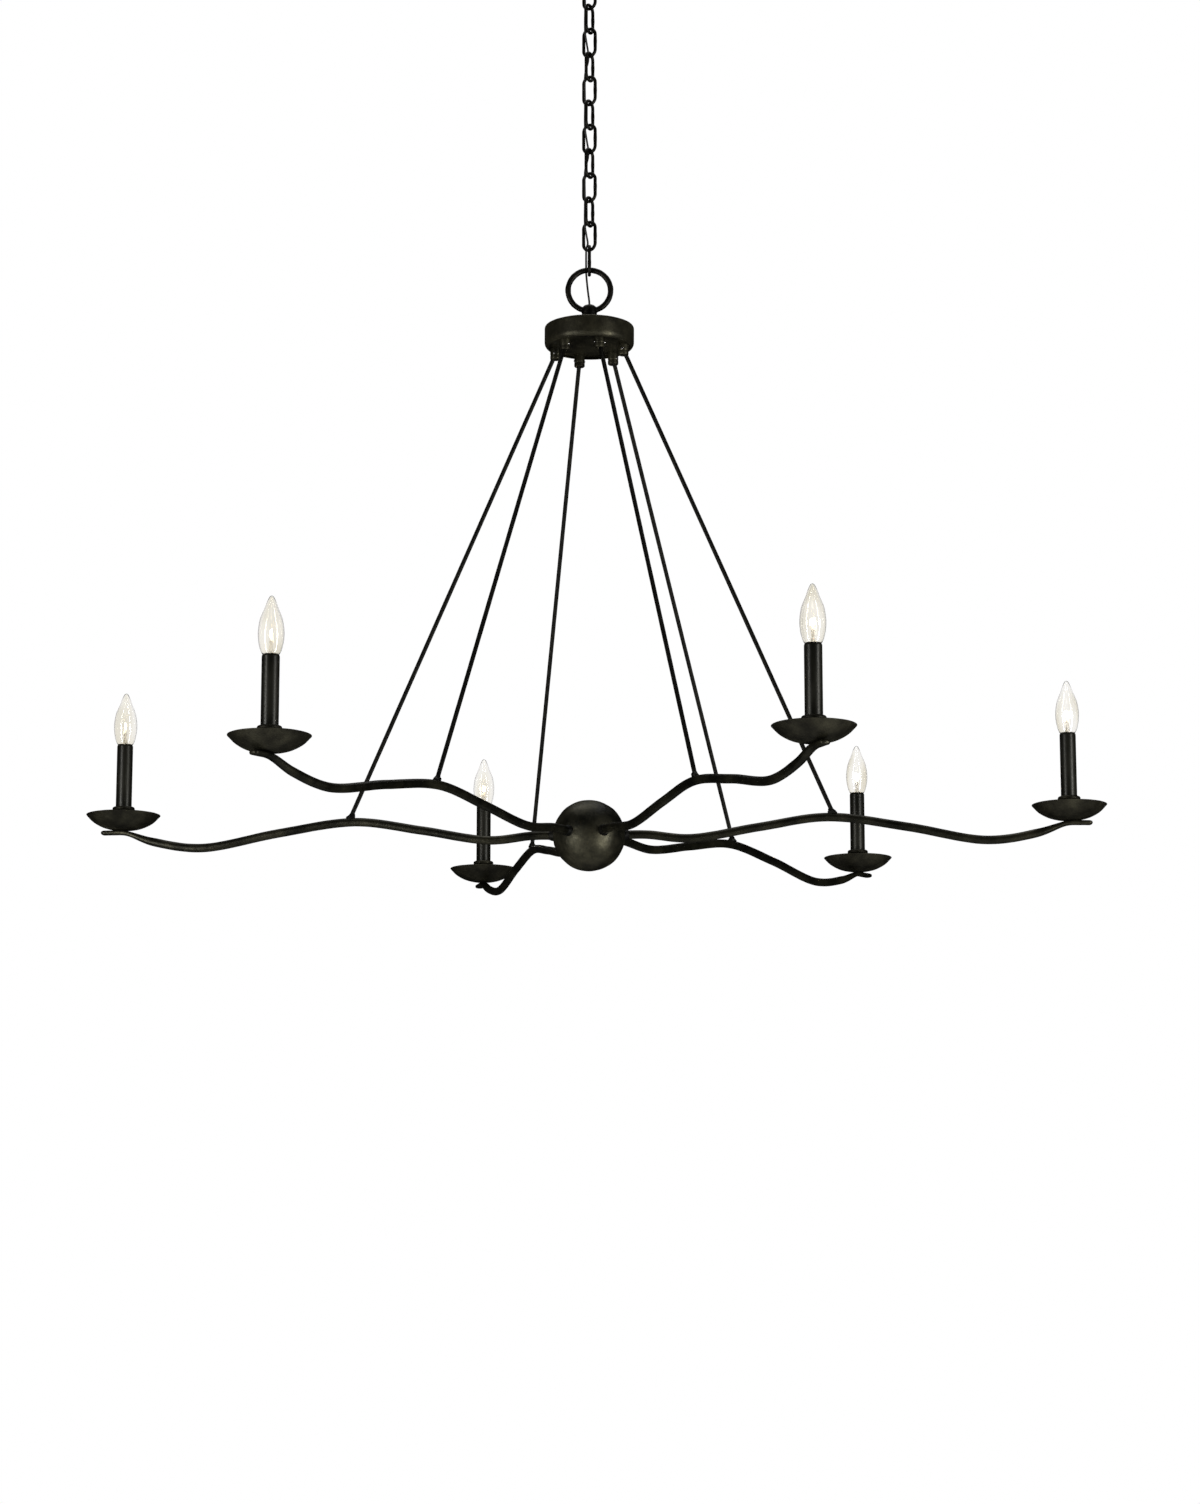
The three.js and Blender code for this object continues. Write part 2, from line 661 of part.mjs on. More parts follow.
// The corners between two crossing links are counted in their own frame: along the wide links and
// square to them, as shares of the distance at which the cord just clears the wires.
function cordRoute() {
  const corner = LINK_WIRE / 2 + CORD_RADIUS + CORD_CLEARANCE;
  const inLink = (LINK_WIDTH / 2 - LINK_WIRE - CORD_RADIUS - CORD_LEG_CLEARANCE) / corner;
  const besideRing = RING_WIRE / 2 + CORD_RADIUS + CORD_CLEARANCE;
  const upAxis = new THREE.Vector3(0, 0, 1);
  const chainTurn = radians(WIDE_LINK_TURN);
  const corridor = (along, square, height) =>
    new THREE.Vector3(along * corner, square * corner, height).applyAxisAngle(upAxis, chainTurn);
  const towardsRing = (x, y, height) => new THREE.Vector3(x * corner, y * besideRing, height);
  const loopMouth = loopCentre + LOOP_RADIUS - LOOP_WIRE / 2;
  const lastWide = linkMiddle(LINKS - 1);

  const route = [
    corridor(0, 0, -2),
    corridor(0, 0, collarTop),
    corridor(0, 0, loopMouth + 2),
    corridor(0, 0, loopMouth - 1),
    corridor(-0.12, -0.12, loopMouth - 3.6),
    corridor(-0.74, -0.7, loopCentre - 1),
    corridor(-1.1, -1, loopSeat + 5.1),
    corridor(-1.05, -1, loopSeat - 5.4),
    corridor(-1, -1, linkMiddle(2) + linkStep / 2),
  ];
  for (const through of CORD_WEAVES) {
    const middle = linkMiddle(through);
    route.push(
      corridor(-1, -1, middle + 0.44 * linkStep),
      corridor(-inLink, 0, middle),
      corridor(-1, 1, middle - 0.38 * linkStep),
      corridor(-1, 1, middle - 0.66 * linkStep),
      corridor(-1, 0, middle - linkStep),
      corridor(-1, -1, middle - 1.37 * linkStep),
      corridor(-1, -1, middle - 2.5 * linkStep),
    );
  }
  route.push(
    corridor(-1, -1, lastWide + 0.43 * linkStep),
    corridor(-inLink, 0, lastWide + 0.04 * linkStep),
    towardsRing(-0.5, 1, lastWide - 0.25 * linkStep),
    towardsRing(-0.94, 1.2, lastWide - 0.44 * linkStep),
    towardsRing(-1, 1.2, lastWide - 0.64 * linkStep),
    towardsRing(-1, 1.05, lastWide - 1.05 * linkStep),
    towardsRing(-0.98, 1, ringTop - 1.3),
    towardsRing(-0.86, 0.75, ringTop - RING_WIRE * 1.3),
    towardsRing(-0.45, 0.4, ringCentre),
    towardsRing(0, 0, hubTop + 3),
    towardsRing(0, 0, hubTop - 7),
    towardsRing(0, 0, hubBottom + 5),
    towardsRing(0, 0, cupTop - CORD_END),
  );
  return route;
}

function cordGeometry() {
  return bar(new THREE.CatmullRomCurve3(cordRoute()), CORD_RADIUS, 8, 66);
}

// ---------------------------------------------------------------- the whole chandelier

const chandelier = new THREE.Group();
chandelier.add(named("crossbar", crossbarGeometry(), bracketSteel));
chandelier.add(named("canopy", canopyGeometry(), forgedIron));
chandelier.add(named("canopy_collar", collarGeometry(), forgedIron));
chandelier.add(named("canopy_loop", canopyLoopGeometry(), forgedIron));
for (let number = 1; number <= LINKS; number++) chandelier.add(linkGroup(number));
chandelier.add(named("supply_cord", cordGeometry(), cordJacket));
chandelier.add(named("top_loop", topLoopGeometry(), forgedIron));
chandelier.add(named("loop_locknut", nutGeometry(), brassNut));
chandelier.add(named("collector_cup", collectorCupGeometry(), forgedIron));
chandelier.add(named("collector_plate", collectorPlateGeometry(), forgedIron));
for (const arm of ARMS) {
  chandelier.add(named(`rod_${arm.side}`, rodGeometry(arm), forgedIron));
  chandelier.add(armGroup(arm));
}
const ball = named("hub_ball", ballGeometry(), forgedIron);
ball.position.z = ballCentre;
chandelier.add(ball);

export default chandelier;
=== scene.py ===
# %% [markdown]
# # A forged iron chandelier with six arms
#
# The lamp hangs from a ceiling canopy by a chain of oval links. A round collector cup holds six
# thin rods, the rods carry six wavy arms that grow out of a ball, and every arm ends in a drip
# pan with a candle sleeve and a flame-shaped lamp. The frame gives each piece its place, so each
# step below asks the frame where the plain solid is, and then makes the finished piece in that
# spot.

import math

import bmesh
import bpy
from mathutils import Matrix, Vector, noise


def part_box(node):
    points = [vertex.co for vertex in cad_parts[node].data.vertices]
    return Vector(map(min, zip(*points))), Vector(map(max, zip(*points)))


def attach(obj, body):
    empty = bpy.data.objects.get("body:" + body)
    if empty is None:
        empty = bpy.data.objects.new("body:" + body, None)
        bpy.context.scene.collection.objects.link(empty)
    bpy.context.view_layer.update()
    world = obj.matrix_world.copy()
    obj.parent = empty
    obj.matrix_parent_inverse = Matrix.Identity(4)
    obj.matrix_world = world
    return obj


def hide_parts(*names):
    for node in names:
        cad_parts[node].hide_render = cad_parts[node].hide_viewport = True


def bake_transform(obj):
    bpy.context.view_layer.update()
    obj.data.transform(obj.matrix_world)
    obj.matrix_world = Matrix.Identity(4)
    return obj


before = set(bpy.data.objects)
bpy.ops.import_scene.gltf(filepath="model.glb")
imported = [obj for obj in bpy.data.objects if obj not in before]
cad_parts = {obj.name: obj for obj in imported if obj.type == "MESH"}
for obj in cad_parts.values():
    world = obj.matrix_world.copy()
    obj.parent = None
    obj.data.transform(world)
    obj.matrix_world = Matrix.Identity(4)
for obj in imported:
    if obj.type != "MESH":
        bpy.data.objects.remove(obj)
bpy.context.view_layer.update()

# %% [markdown]
# ## Where things are
#
# The ball is the middle of the whole lamp, and every height is easier to read from there. A box
# from the frame has a lowest and a highest corner, and halfway between them is the solid's
# middle.

# %% Middles and heights from the frame
MM = 0.001
SIDES = ["right", "rear_right", "rear_left", "left", "front_left", "front_right"]
LINKS = 12


def middle_of(node):
    low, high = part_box(node)
    return (low + high) / 2


def top_of(node):
    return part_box(node)[1].z


def foot_of(node):
    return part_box(node)[0].z


ball_middle = Vector((0, 0, middle_of("hub_ball").z))
link_middles = [middle_of(f"chain_link_{number:02d}").z for number in range(1, LINKS + 1)]
link_step = link_middles[0] - link_middles[1]
print("ball at", round(ball_middle.z, 4), "m, links", round(link_step / MM, 2), "mm apart")

# %% [markdown]
# ## The camera
#
# The lamp is seen from a little below, as a visitor looks up at it from across a room. The lens
# is a mild telephoto, which keeps the front and the rear candles close to the same size. The
# sensor is fitted upright, because the picture is taller than it is wide.

# %% Camera
CAMERA_DISTANCE = 4.740
CAMERA_DROP = 0.708
CAMERA_PITCH = 9.95
CAMERA_YAW = 0.193
CAMERA_LENS = 78.85

camera_data = bpy.data.cameras.new("camera")
camera_data.sensor_fit = "VERTICAL"
camera_data.sensor_height = 36
camera_data.lens = CAMERA_LENS
camera = bpy.data.objects.new("camera", camera_data)
camera.location = (0, -CAMERA_DISTANCE, ball_middle.z - CAMERA_DROP)
camera.rotation_euler = (math.radians(90 + CAMERA_PITCH), 0, math.radians(-CAMERA_YAW))
bpy.context.scene.collection.objects.link(camera)
bpy.context.scene.camera = camera
print("camera stands", CAMERA_DISTANCE, "m in front of the ball")

# %% [markdown]
# ## Smooth lines
#
# A bent bar, a cord and a wire link all start as a line in space. A few points say where the line
# goes, and a Catmull-Rom spline passes through each of them without a corner. The centripetal
# kind is used, because it doesn't overshoot where two points are close together.

# %% A smooth line through chosen points


def smooth_line(points, steps_each):
    points = [Vector(point) for point in points]
    before = 2 * points[0] - points[1]
    after = 2 * points[-1] - points[-2]
    padded = [before, *points, after]
    line = []
    for a, b, c, d in zip(padded, padded[1:], padded[2:], padded[3:]):
        first = max((b - a).length, 1e-9) ** 0.5
        second = max((c - b).length, 1e-9) ** 0.5
        third = max((d - c).length, 1e-9) ** 0.5
        leave = (b - a) / first - (c - a) / (first + second) + (c - b) / second
        arrive = (c - b) / second - (d - b) / (second + third) + (d - c) / third
        leave *= second
        arrive *= second
        for step in range(steps_each):
            s = step / steps_each
            line.append(
                b
                + leave * s
                + (3 * (c - b) - 2 * leave - arrive) * s**2
                + (2 * (b - c) + leave + arrive) * s**3
            )
    line.append(points[-1])
    return line


def lerp(a, b, share):
    return a + (b - a) * share


def ease(low, high, value):
    share = min(max((value - low) / (high - low), 0), 1)
    return share * share * (3 - 2 * share)


# %% [markdown]
# ## Sweeping and turning
#
# Two workshop moves make nearly every piece of this lamp. A bar is swept: an outline is carried
# along a line and turned with it, and the rings are stitched together with quads. A pan, a cup or
# a lamp is turned, as on a lathe: a profile of radii and heights goes once round an axis. A curve
# object with a bevel could do the plain bars too, but the arms change their section on the way,
# so one mesh helper does them all.

# %% A mesh from rings of points


def object_from_rings(name, rings, loop=False, caps=True):
    mesh = bmesh.new()
    rows = [[mesh.verts.new(point) for point in ring] for ring in rings]
    count = len(rows[0])
    pairs = list(zip(rows, rows[1:]))
    if loop:
        pairs.append((rows[-1], rows[0]))
    for near, far in pairs:
        for i in range(count):
            j = (i + 1) % count
            mesh.faces.new((near[i], near[j], far[j], far[i]))
    if caps and not loop:
        mesh.faces.new(reversed(rows[0]))
        mesh.faces.new(rows[-1])
    bmesh.ops.remove_doubles(mesh, verts=mesh.verts, dist=1e-7)
    bmesh.ops.recalc_face_normals(mesh, faces=mesh.faces)
    return object_from_bmesh(name, mesh)


def object_from_bmesh(name, mesh, sharp_angle=38):
    data = bpy.data.meshes.new(name)
    mesh.to_mesh(data)
    mesh.free()
    data.shade_smooth()
    data.set_sharp_from_angle(angle=math.radians(sharp_angle))
    made = bpy.data.objects.new(name, data)
    bpy.context.scene.collection.objects.link(made)
    return made


# %% Sweep an outline along a line


def section_rings(line, outline, side=None, loop=False):
    """outline(index) gives the section's points as pairs: to the side, and square to it."""
    count = len(line)
    if loop:
        directions = [(line[(i + 1) % count] - line[i - 1]).normalized() for i in range(count)]
    else:
        directions = [
            (line[min(i + 1, count - 1)] - line[max(i - 1, 0)]).normalized() for i in range(count)
        ]
    side = Vector(side) if side else directions[0].orthogonal()
    rings = []
    for index, (point, along) in enumerate(zip(line, directions)):
        side = (side - along * side.dot(along)).normalized()
        square = along.cross(side)
        rings.append([point + side * x + square * y for x, y in outline(index)])
    return rings


def swept(name, line, outline, side=None, loop=False):
    return object_from_rings(name, section_rings(line, outline, side, loop), loop)


def full_turn(count):
    return [2 * math.pi * i / count for i in range(count)]


def round_points(radius, corners=16):
    return [(radius * math.cos(a), radius * math.sin(a)) for a in full_turn(corners)]


def round_outline(radius, corners=16):
    points = round_points(radius, corners)
    return lambda index: points


# %% Turn a profile on an axis


def turned(name, profile, place=(0, 0, 0), steps=64, closed=False):
    """profile is a list of (radius, height). It starts and ends on the axis, or is closed."""
    middle = Vector(place)
    rings = []
    for angle in full_turn(steps):
        out = Vector((math.cos(angle), math.sin(angle), 0))
        rings.append([middle + out * radius + Vector((0, 0, height)) for radius, height in profile])
    mesh = bmesh.new()
    rows = [[mesh.verts.new(point) for point in ring] for ring in rings]
    last = len(profile) if closed else len(profile) - 1
    for near, far in zip(rows, rows[1:] + rows[:1]):
        for i in range(last):
            j = (i + 1) % len(profile)
            mesh.faces.new((near[i], far[i], far[j], near[j]))
    bmesh.ops.remove_doubles(mesh, verts=mesh.verts, dist=1e-7)
    bmesh.ops.dissolve_degenerate(mesh, edges=mesh.edges, dist=1e-7)
    bmesh.ops.recalc_face_normals(mesh, faces=mesh.faces)
    return object_from_bmesh(name, mesh)


# %% Round off the corners of a profile


def eased(profile, radius, steps=4, closed=False):
    """Each corner is replaced by a short curve that starts and ends at most radius away from it."""
    points = [Vector(point) for point in profile]
    count = len(points)
    made = []
    for i, corner in enumerate(points):
        if not closed and i in (0, count - 1):
            made.append(tuple(corner))
            continue
        before = points[i - 1] - corner
        after = points[(i + 1) % count] - corner
        start = corner + before.normalized() * min(radius, before.length * 0.45)
        end = corner + after.normalized() * min(radius, after.length * 0.45)
        for step in range(steps + 1):
            s = step / steps
            made.append(tuple(start * (1 - s) ** 2 + corner * 2 * s * (1 - s) + end * s**2))
    return made


def turned_shell(name, profile, corner, easing, place=(0, 0, 0), steps=64):
    """A turned piece that is open in the middle: its profile closes on itself, corners eased."""
    closed = eased(profile, corner, easing, closed=True)
    return turned(name, closed, place, steps, closed=True)


def smooth_profile(points, steps_each=8):
    line = smooth_line([(radius, 0, height) for radius, height in points], steps_each)
    return [(point.x, point.z) for point in line]


# %% [markdown]
# ## Hand-forged surfaces
#
# Cast and hammered iron is never quite round. A little noise pushes each point in or out along
# its normal. The amounts are fractions of a millimetre: enough to break up the long highlights,
# and too little to change a size.

# %% Push a surface in and out


def hammered(piece, size, depth, seed=0):
    """Moves each vertex along its normal by noise whose lumps are about size across."""
    offset = Vector((seed * 3.7, seed * 1.9, seed * 5.3))
    normals = [vertex.normal.copy() for vertex in piece.data.vertices]
    for vertex, normal in zip(piece.data.vertices, normals):
        value = noise.noise(vertex.co / size + offset)
        vertex.co += normal * (value * depth)
    return piece


def placed(piece, body, slot, material, *nodes):
    """Gives a finished piece its material and its body, and hides the plain solids that it stands
    for.
    """
    piece.data.materials.clear()
    piece.data.materials.append(material)
    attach(piece, body)
    if nodes:
        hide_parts(*nodes)


# %% [markdown]
# ## The iron's finish
#
# The iron has a dark oil-rubbed bronze finish: nearly black, with olive and umber patches where
# the top coat is thin, and a soft satin sheen. It is made of three layers of noise. Wide clouds
# mix the two colours, a finer one changes the roughness so the sheen comes and goes, and a fine
# grain gives the bump. The coordinates are the object's own, so the pattern stays on the piece as
# it swings.

# %% Node helpers


def fresh_material(name):
    material = bpy.data.materials.new(name)
    material.use_nodes = True
    tree = material.node_tree
    return material, tree, tree.nodes["Principled BSDF"]


def add_noise(tree, scale, detail=4, roughness=0.55, stretch=(1, 1, 1)):
    place = tree.nodes.new("ShaderNodeTexCoord")
    mapping = tree.nodes.new("ShaderNodeMapping")
    mapping.inputs["Scale"].default_value = stretch
    texture = tree.nodes.new("ShaderNodeTexNoise")
    texture.inputs["Scale"].default_value = scale
    texture.inputs["Detail"].default_value = detail
    texture.inputs["Roughness"].default_value = roughness
    tree.links.new(place.outputs["Object"], mapping.inputs["Vector"])
    tree.links.new(mapping.outputs["Vector"], texture.inputs["Vector"])
    return texture.outputs["Fac"]


def add_ramp(tree, source, stops):
    ramp = tree.nodes.new("ShaderNodeValToRGB")
    ramp.color_ramp.elements[0].position = stops[0][0]
    ramp.color_ramp.elements[1].position = stops[-1][0]
    for position, _ in stops[1:-1]:
        ramp.color_ramp.elements.new(position)
    for element, (_, color) in zip(ramp.color_ramp.elements, stops):
        element.color = (*color, 1)
    tree.links.new(source, ramp.inputs["Fac"])
    return ramp.outputs["Color"]


def add_range(tree, source, low, high, start=0.3, end=0.7):
    to_range = tree.nodes.new("ShaderNodeMapRange")
    to_range.inputs["From Min"].default_value = start
    to_range.inputs["From Max"].default_value = end
    to_range.inputs["To Min"].default_value = low
    to_range.inputs["To Max"].default_value = high
    tree.links.new(source, to_range.inputs["Value"])
    return to_range.outputs["Result"]


def add_bump(tree, shader, source, strength, distance):
    bump = tree.nodes.new("ShaderNodeBump")
    bump.inputs["Strength"].default_value = strength
    bump.inputs["Distance"].default_value = distance
    tree.links.new(source, bump.inputs["Height"])
    tree.links.new(bump.outputs["Normal"], shader.inputs["Normal"])


# %% Oil-rubbed iron


def iron_finish(name, dark, thin, cloud_scale, grain_scale, sheen_low, sheen_high, bump=0.35):
    material, tree, shader = fresh_material(name)
    clouds = add_noise(tree, cloud_scale, detail=6, roughness=0.62)
    middle = [lerp(a, b, 0.4) for a, b in zip(dark, thin)]
    color = add_ramp(tree, clouds, [(0.36, dark), (0.52, middle), (0.68, thin)])
    tree.links.new(color, shader.inputs["Base Color"])
    patches = add_noise(tree, cloud_scale * 3.1, detail=5)
    sheen = add_range(tree, patches, sheen_low, sheen_high)
    tree.links.new(sheen, shader.inputs["Roughness"])
    shader.inputs["Metallic"].default_value = 0.72
    shader.inputs["Specular IOR Level"].default_value = 0.4
    grain = add_noise(tree, grain_scale, detail=3, roughness=0.6)
    add_bump(tree, shader, grain, bump, 0.0006)
    return material


arm_iron = iron_finish(
    "arm_iron", (0.008, 0.008, 0.005), (0.044, 0.041, 0.025), 26, 420, 0.28, 0.44
)
ball_iron = iron_finish(
    "ball_iron", (0.007, 0.007, 0.004), (0.085, 0.079, 0.050), 24, 300, 0.34, 0.56, 0.6
)
# Painted light: this copy of the iron finish is made lighter than the arms' copy, to stand in for
# light on the cup, canopy, collar, plate and couplers; the olive tone and its patches are the
# iron's own.
painted_light_cup_iron = iron_finish(
    "painted_light_cup_iron", (0.015, 0.014, 0.009), (0.088, 0.081, 0.050), 24, 380, 0.32, 0.48
)
# Painted light: this copy of the iron finish is made lighter than the arms' copy, to stand in for
# light on the drip pans; the olive tone and its patches are the iron's own.
painted_light_pan_iron = iron_finish(
    "painted_light_pan_iron", (0.012, 0.011, 0.007), (0.060, 0.056, 0.036), 34, 520, 0.42, 0.60
)
chain_iron = iron_finish(
    "chain_iron", (0.004, 0.004, 0.003), (0.018, 0.016, 0.011), 70, 700, 0.36, 0.52
)
rod_iron = iron_finish(
    "rod_iron", (0.003, 0.003, 0.0022), (0.012, 0.011, 0.007), 45, 600, 0.42, 0.58
)
print("iron finishes:", [m.name for m in bpy.data.materials if m.name.endswith("_iron")])

# %% [markdown]
# ## Other finishes
#
# The candle sleeves and the cord are dark and smooth, so they get a fine grain and little colour
# change. The hidden hardware is zinc and brass. The lamp's glass is clear with a faint warm tint,
# and the tungsten inside glows.

# %% Paint, plastic and plated metal


def grained_finish(name, dark, light, scale, metallic, sheen_low, sheen_high, stretch=(1, 1, 1)):
    material, tree, shader = fresh_material(name)
    streaks = add_noise(tree, scale, detail=4, stretch=stretch)
    color = add_ramp(tree, streaks, [(0.35, dark), (0.65, light)])
    tree.links.new(color, shader.inputs["Base Color"])
    sheen = add_range(tree, streaks, sheen_low, sheen_high)
    tree.links.new(sheen, shader.inputs["Roughness"])
    shader.inputs["Metallic"].default_value = metallic
    add_bump(tree, shader, add_noise(tree, scale * 9, detail=2), 0.15, 0.0003)
    return material


sleeve_paint = grained_finish(
    "sleeve_paint", (0.010, 0.010, 0.007), (0.024, 0.023, 0.016), 60, 0.5, 0.30, 0.42, (1, 1, 0.25)
)
cord_jacket = grained_finish(
    "cord_jacket", (0.012, 0.012, 0.011), (0.022, 0.021, 0.018), 180, 0.0, 0.45, 0.6
)
socket_plastic = grained_finish(
    "socket_plastic", (0.010, 0.008, 0.007), (0.024, 0.017, 0.012), 90, 0.0, 0.35, 0.5
)
zinc_plate = grained_finish(
    "zinc_plate", (0.42, 0.43, 0.42), (0.66, 0.65, 0.60), 70, 1.0, 0.26, 0.44, (0.2, 1, 1)
)
bright_pin = grained_finish(
    "bright_pin", (0.45, 0.44, 0.43), (0.80, 0.78, 0.76), 300, 1.0, 0.18, 0.32
)
plain_brass = grained_finish(
    "plain_brass", (0.42, 0.28, 0.09), (0.62, 0.44, 0.17), 160, 1.0, 0.24, 0.4
)
fired_stem = grained_finish(
    "fired_stem", (0.62, 0.58, 0.50), (0.80, 0.76, 0.68), 300, 0.0, 0.12, 0.3
)

# %% Lamp glass and glowing tungsten


def lamp_glass_finish():
    material, tree, shader = fresh_material("lamp_glass")
    waves = add_noise(tree, 45, detail=0, stretch=(1, 1, 0.3))
    smoky = (0.88, 0.86, 0.80)
    faint = (0.98, 0.97, 0.94)
    tint = add_ramp(tree, waves, [(0.33, smoky), (0.5, faint), (0.66, (1.0, 1.0, 1.0))])
    tree.links.new(tint, shader.inputs["Base Color"])
    shader.inputs["Transmission Weight"].default_value = 1.0
    shader.inputs["IOR"].default_value = 1.5
    shader.inputs["Roughness"].default_value = 0.0
    return material


def tungsten_finish():
    material, tree, shader = fresh_material("hot_tungsten")
    spots = add_noise(tree, 400, detail=2)
    glow = add_ramp(tree, spots, [(0.3, (1.0, 0.70, 0.34)), (0.7, (1.0, 0.84, 0.55))])
    tree.links.new(glow, shader.inputs["Emission Color"])
    tree.links.new(glow, shader.inputs["Base Color"])
    shader.inputs["Emission Strength"].default_value = 11.0
    return material


lamp_glass = lamp_glass_finish()
hot_tungsten = tungsten_finish()
print(len(bpy.data.materials), "materials, those of the frame included")

# %% [markdown]
# ## The supply cord
#
# A thin round cord runs from the canopy down to the collector. It can't lie inside the links,
# because each link's middle is filled by its neighbours, so it runs down one corner between the
# crossing links, and now and then it goes through a wide link to the corner behind and comes back
# beside the next one. Below the chain it leans through the big ring and goes down the hub.
#
# The corners are counted in the chain's own frame, along the wide links and square to them.

# %% The cord's route
CORD_RADIUS = 1.5 * MM
CORD_CLEARANCE = 0.9 * MM
CORD_WEAVES = [3, 7]
CORD_END = 17 * MM
LINK_LENGTH = 48.8 * MM
LINK_WIRE = 5 * MM
LINK_SLACK = 0.5 * MM
RING_WIRE = 8.5 * MM
RING_RADIUS = 31.85 * MM
RING_SINK = 13.7 * MM
HUB_HEIGHT = 34.5 * MM
LOOP_WIRE = 6 * MM
LOOP_RADIUS = 13 * MM
LOOP_NECK_HEIGHT = 3 * MM
WIDE_LINK_TURN = -30

link_half = (LINK_LENGTH - LINK_WIRE) / 2
loop_neck_top = foot_of("canopy_collar") - 0.3 * MM
loop_middle = loop_neck_top - LOOP_NECK_HEIGHT - LOOP_WIRE / 2 - LOOP_RADIUS
loop_seat = loop_middle - LOOP_RADIUS
ring_top = link_middles[-1] - link_half + (LINK_WIRE + RING_WIRE) / 2 + LINK_SLACK
ring_middle = ring_top - RING_RADIUS
hub_top = ring_middle - RING_RADIUS - RING_WIRE / 2 + RING_SINK
hub_foot = hub_top - HUB_HEIGHT
cup_top = top_of("collector_cup")


def cord_route():
    corner = LINK_WIRE / 2 + CORD_RADIUS + CORD_CLEARANCE
    beside_ring = RING_WIRE / 2 + CORD_RADIUS + CORD_CLEARANCE
    chain_turn = Matrix.Rotation(math.radians(WIDE_LINK_TURN), 3, "Z")
    loop_mouth = loop_middle + LOOP_RADIUS - LOOP_WIRE / 2

    def corridor(along, square, height):
        return chain_turn @ Vector((along * corner, square * corner, height))

    def towards_ring(x, y, height):
        return Vector((x * corner, y * beside_ring, height))

    route = [
        corridor(0, 0, -2 * MM),
        corridor(0, 0, top_of("canopy_collar")),
        corridor(0, 0, loop_mouth + 2 * MM),
        corridor(0, 0, loop_mouth - 1 * MM),
        corridor(-0.12, -0.12, loop_mouth - 3.6 * MM),
        corridor(-0.74, -0.7, loop_middle - 1 * MM),
        corridor(-1.1, -1, loop_seat + 5.1 * MM),
        corridor(-1.05, -1, loop_seat - 5.4 * MM),
        corridor(-1, -1, link_middles[1] + link_step / 2),
    ]
    for through in CORD_WEAVES:
        middle = link_middles[through - 1]
        route += [
            corridor(-1, -1, middle + 0.44 * link_step),
            corridor(-1, 0, middle),
            corridor(-1, 1, middle - 0.38 * link_step),
            corridor(-1, 1, middle - 0.66 * link_step),
            corridor(-1, 0, middle - link_step),
            corridor(-1, -1, middle - 1.37 * link_step),
            corridor(-1, -1, middle - 2.5 * link_step),
        ]
    last_wide = link_middles[-2]
    route += [
        corridor(-1, -1, last_wide + 0.43 * link_step),
        corridor(-1, 0, last_wide + 0.04 * link_step),
        towards_ring(-0.5, 1, last_wide - 0.25 * link_step),
        towards_ring(-0.94, 1.2, last_wide - 0.44 * link_step),
        towards_ring(-1, 1.2, last_wide - 0.64 * link_step),
        towards_ring(-1, 1.05, last_wide - 1.05 * link_step),
        towards_ring(-0.98, 1, ring_top - 1.3 * MM),
        towards_ring(-0.86, 0.75, ring_top - RING_WIRE * 1.3),
        towards_ring(-0.45, 0.4, ring_middle),
        towards_ring(0, 0, hub_top + 3 * MM),
        towards_ring(0, 0, hub_top - 7 * MM),
        towards_ring(0, 0, hub_foot + 5 * MM),
        towards_ring(0, 0, cup_top - CORD_END),
    ]
    return route


# %% [markdown]
# The chain swings link by link, and the cord has to bend with it. Its tube is made once and cut at
# the middle of every link, one length for each link.

# %% The cord, cut at the links
FAR_BELOW = -10.0

cord_line = smooth_line(cord_route(), 10)


def supply_cord():
    rings = section_rings(cord_line, round_outline(CORD_RADIUS, 12))
    bodies = ["ceiling_mount"] + [f"link_{n:02d}" for n in range(1, LINKS + 1)] + ["chandelier"]
    cuts = [0.0, *link_middles, FAR_BELOW]
    for number, (above, below) in enumerate(zip(bodies, bodies[1:]), start=1):
        high, low = cuts[number - 1 : number + 1]
        inside = [i for i, point in enumerate(cord_line) if low <= point.z <= high]
        first = max(inside[0] - 1, 0)
        length = object_from_rings(f"supply_cord_{number:02d}", rings[first : inside[-1] + 1])
        length.data.materials.append(cord_jacket)
        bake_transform(length)
        if number == 1:
            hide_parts("supply_cord")


supply_cord()
cord_length = sum((b - a).length for a, b in zip(cord_line, cord_line[1:]))
print("supply cord", round(cord_length, 3), "m long in", LINKS + 1, "lengths")

# %% [markdown]
# ## Canopy, crossbar, collar and loop
#
# The canopy is a spun sheet-metal dish that hides the ceiling box. A knurled collar holds it up,
# and the canopy loop's hollow stem passes through both into a slotted steel crossbar. The dish is
# turned from a profile with its corners eased, as a spinner rolls sheet over a form. The collar's
# grip is cut by moving the points of its rim in and out round the ring.

# %% Canopy
CANOPY_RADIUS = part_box("canopy")[1].x
CANOPY_DEPTH = -foot_of("canopy")
CANOPY_WALL = 1.5 * MM
STEM_HOLE = 5.5 * MM


